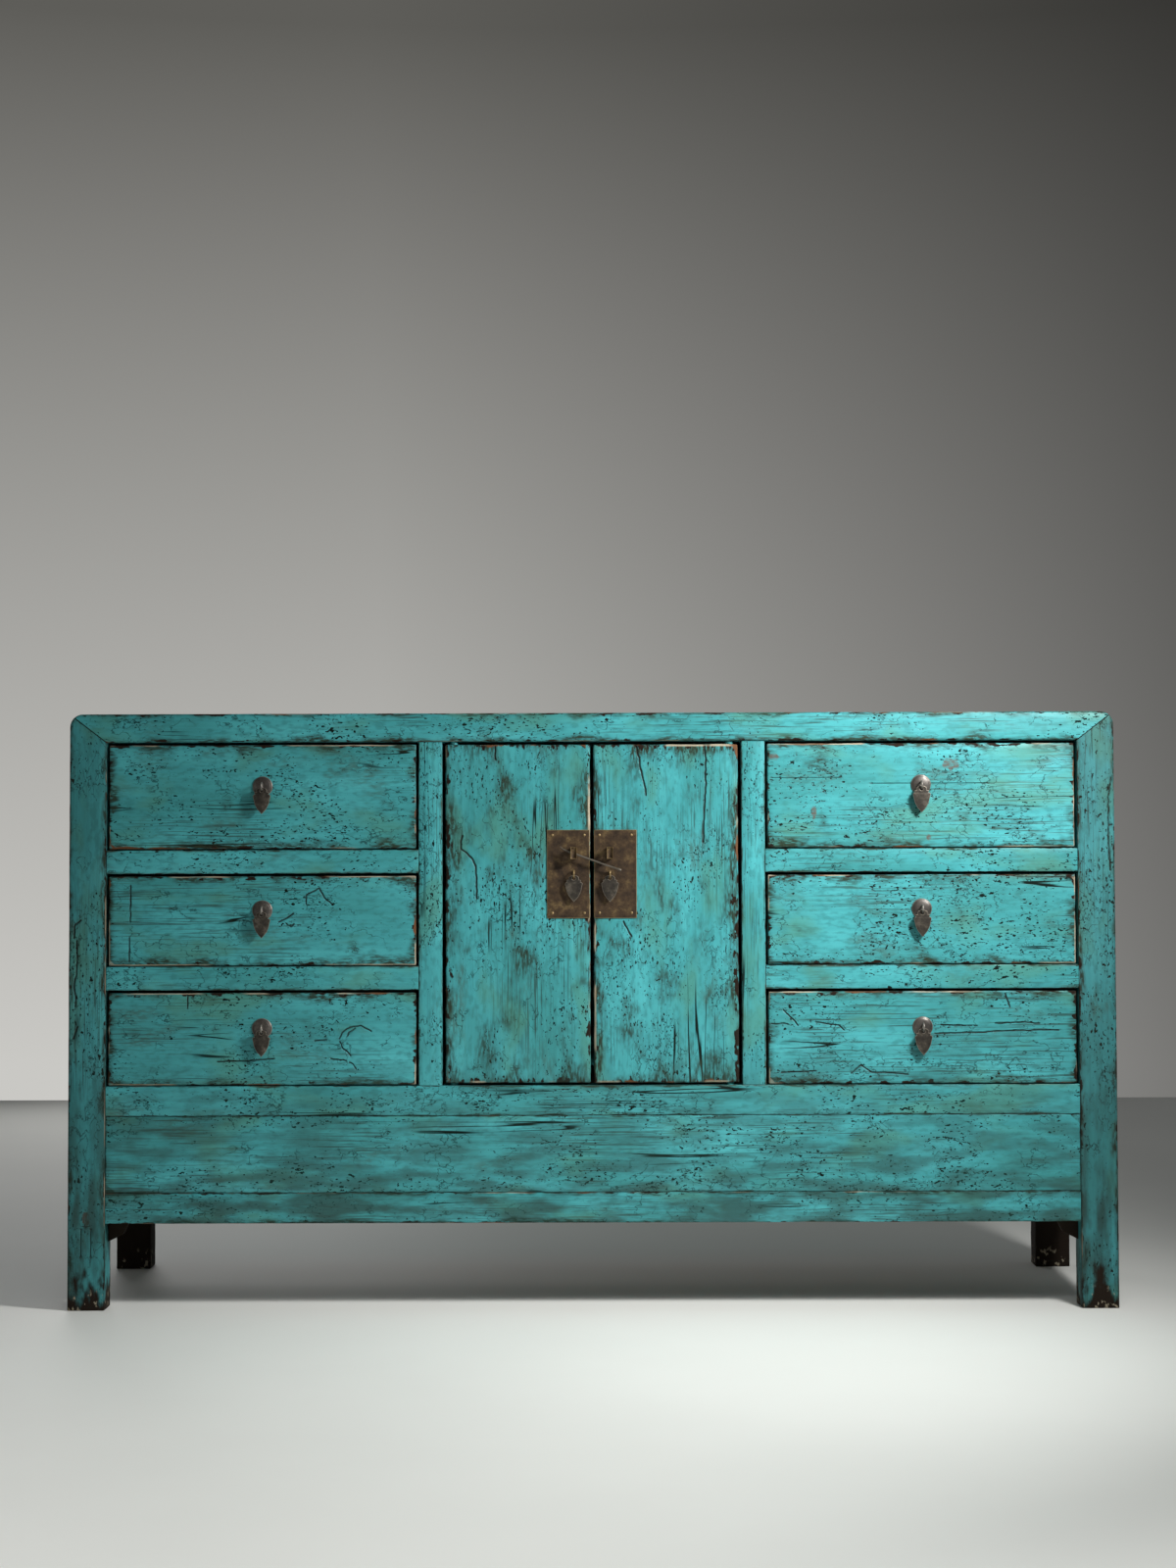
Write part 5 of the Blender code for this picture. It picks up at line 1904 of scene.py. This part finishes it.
@dataclass(frozen=True)
class Studio:
    """A plain pale floor, a grey backdrop, soft lamps and the camera."""

    floor: str = "#EAEAE4"
    floor_pale: str = "#F0F0EA"
    floor_size: tuple[float, float] = (24.0, 18.0)
    floor_drop: float = 0.3 * MM
    soft: str = "#E9ECEE"
    soft_strength: float = 0.13
    wall: str = "#C9C8C4"
    wall_top: str = "#5E5D59"
    # The wall's painted shade: it darkens between two upward looks, and dims between two sideways looks, from the
    # first strength to the second
    wall_rise: tuple[float, float] = (-0.08, 0.34)
    wall_aside: tuple[float, float, float, float] = (-0.09, 0.26, 1.0, 0.28)
    wall_at: float = 3.08
    lamps: tuple[Lamp, ...] = (
        Lamp("key", (0.96, -0.90, 1.30), (-0.12, -0.2, 0.37), 0.24, 10.9, 107.0),
        Lamp("top", (0.15, -2.6, 2.6), (0.15, -2.6, 0.0), 1.2, 26.0, 97.0),
        Lamp("fill", (-2.6, -3.2, 2.2), (0.0, 0.0, 0.5), 2.4, 0.5),
        Lamp("rear", (-1.2, 2.9, 1.4), (0.0, 0.0, 0.5), 1.6, 14.0),
    )
    eye: tuple[float, float, float] = (-0.0003, -3.7987, 0.6686)
    pitch: float = 2.07
    yaw: float = 0.083
    roll: float = 0.168
    lens: float = 54.0
    sensor: float = 36.0

    def ground(self) -> None:
        """Lays the floor as far as the wall's foot."""
        bpy.ops.object.select_all(action="DESELECT")
        wide, deep = self.floor_size
        bpy.ops.mesh.primitive_plane_add(size=1.0, location=(0.0, self.wall_at - deep / 2, -self.floor_drop))
        plane = bpy.context.object
        plane.name = "studio_floor"
        plane.scale = (wide, deep, 1.0)
        settle(plane)
        # Painted concrete: pale grey, faintly mottled
        made = bpy.data.materials.new("painted_floor")
        tree = clear_tree(made)
        place = add_node(tree, "TexCoord").outputs["Object"]
        drift = add_node(tree, "TexNoise", place, per_metre(700), 5.0)
        colour = add_node(tree, "ValToRGB", drift, stops=[(0.3, linear(self.floor)), (0.7, linear(self.floor_pale))])
        shader = add_node(tree, "BsdfPrincipled", Base_Color=colour, Roughness=0.6)
        add_node(tree, "OutputMaterial", shader)
        plane.data.materials.append(made)

    def backdrop(self) -> None:
        """Lights the scene softly all round and shows a wall behind it, with painted shade upwards and to the right.
        """
        world = bpy.data.worlds.new("studio")
        bpy.context.scene.world = world
        tree = clear_tree(world)
        soft = add_node(tree, "Background", linear(self.soft), self.soft_strength)
        look = add_node(tree, "SeparateXYZ", add_node(tree, "TexCoord").outputs["Generated"])
        # The wall is painted darker upwards and to the right, as shade where the light falls off
        rise = add_node(tree, "MapRange", look.outputs["Z"], *self.wall_rise)
        shade = add_node(tree, "ValToRGB", rise, stops=[(0.0, linear(self.wall)), (1.0, linear(self.wall_top))])
        aside = add_node(tree, "MapRange", look.outputs["X"], *self.wall_aside)
        wall = add_node(tree, "Background", shade, aside)
        # What the camera sees shows in polished metal too, and everything else takes the soft light
        rays = add_node(tree, "LightPath").outputs
        mirrored = add_node(tree, "Math", rays["Is Glossy Ray"], rays["Is Transmission Ray"], operation="MAXIMUM")
        seen = add_node(tree, "Math", rays["Is Camera Ray"], mirrored, operation="MAXIMUM")
        add_node(tree, "OutputWorld", add_node(tree, "MixShader", seen, soft, wall))

    def camera(self) -> None:
        """Sets the camera at the photograph's angle."""
        made = bpy.data.objects.new("camera", bpy.data.cameras.new("camera"))
        bpy.context.scene.collection.objects.link(made)
        made.data.lens = self.lens
        made.data.sensor_width = self.sensor
        turn = (
            Matrix.Rotation(math.radians(self.yaw), 4, "Z")
            @ Matrix.Rotation(math.radians(90 + self.pitch), 4, "X")
            @ Matrix.Rotation(math.radians(-self.roll), 4, "Z")
        )
        made.matrix_world = Matrix.Translation(self.eye) @ turn
        bpy.context.scene.camera = made

    def build(self) -> None:
        """Sets up the whole studio."""
        self.ground()
        self.backdrop()
        for lamp in self.lamps:
            lamp.build()
        self.camera()
        bpy.context.scene.view_settings.view_transform = "Standard"


def main() -> None:
    """Builds the sideboard piece by piece, then the studio."""
    noise.seed_set(NOISE_SEED)
    palette = Palette.mix()
    hardware = Hardware(palette)
    hardware.model()
    Carcass(palette).build()
    for i, side in enumerate(SIDES):
        for j, row in enumerate(ROWS):
            Drawer(palette, hardware, side, row, DRAWER_SEED + len(ROWS) * i + j).build()
        Door(palette, hardware, side, DOOR_SEED + i).build()
    hardware.clear()
    LockPin(palette).build()
    Studio().build()
    LOG.info("sideboard built")


if __name__ == "__main__":
    main()
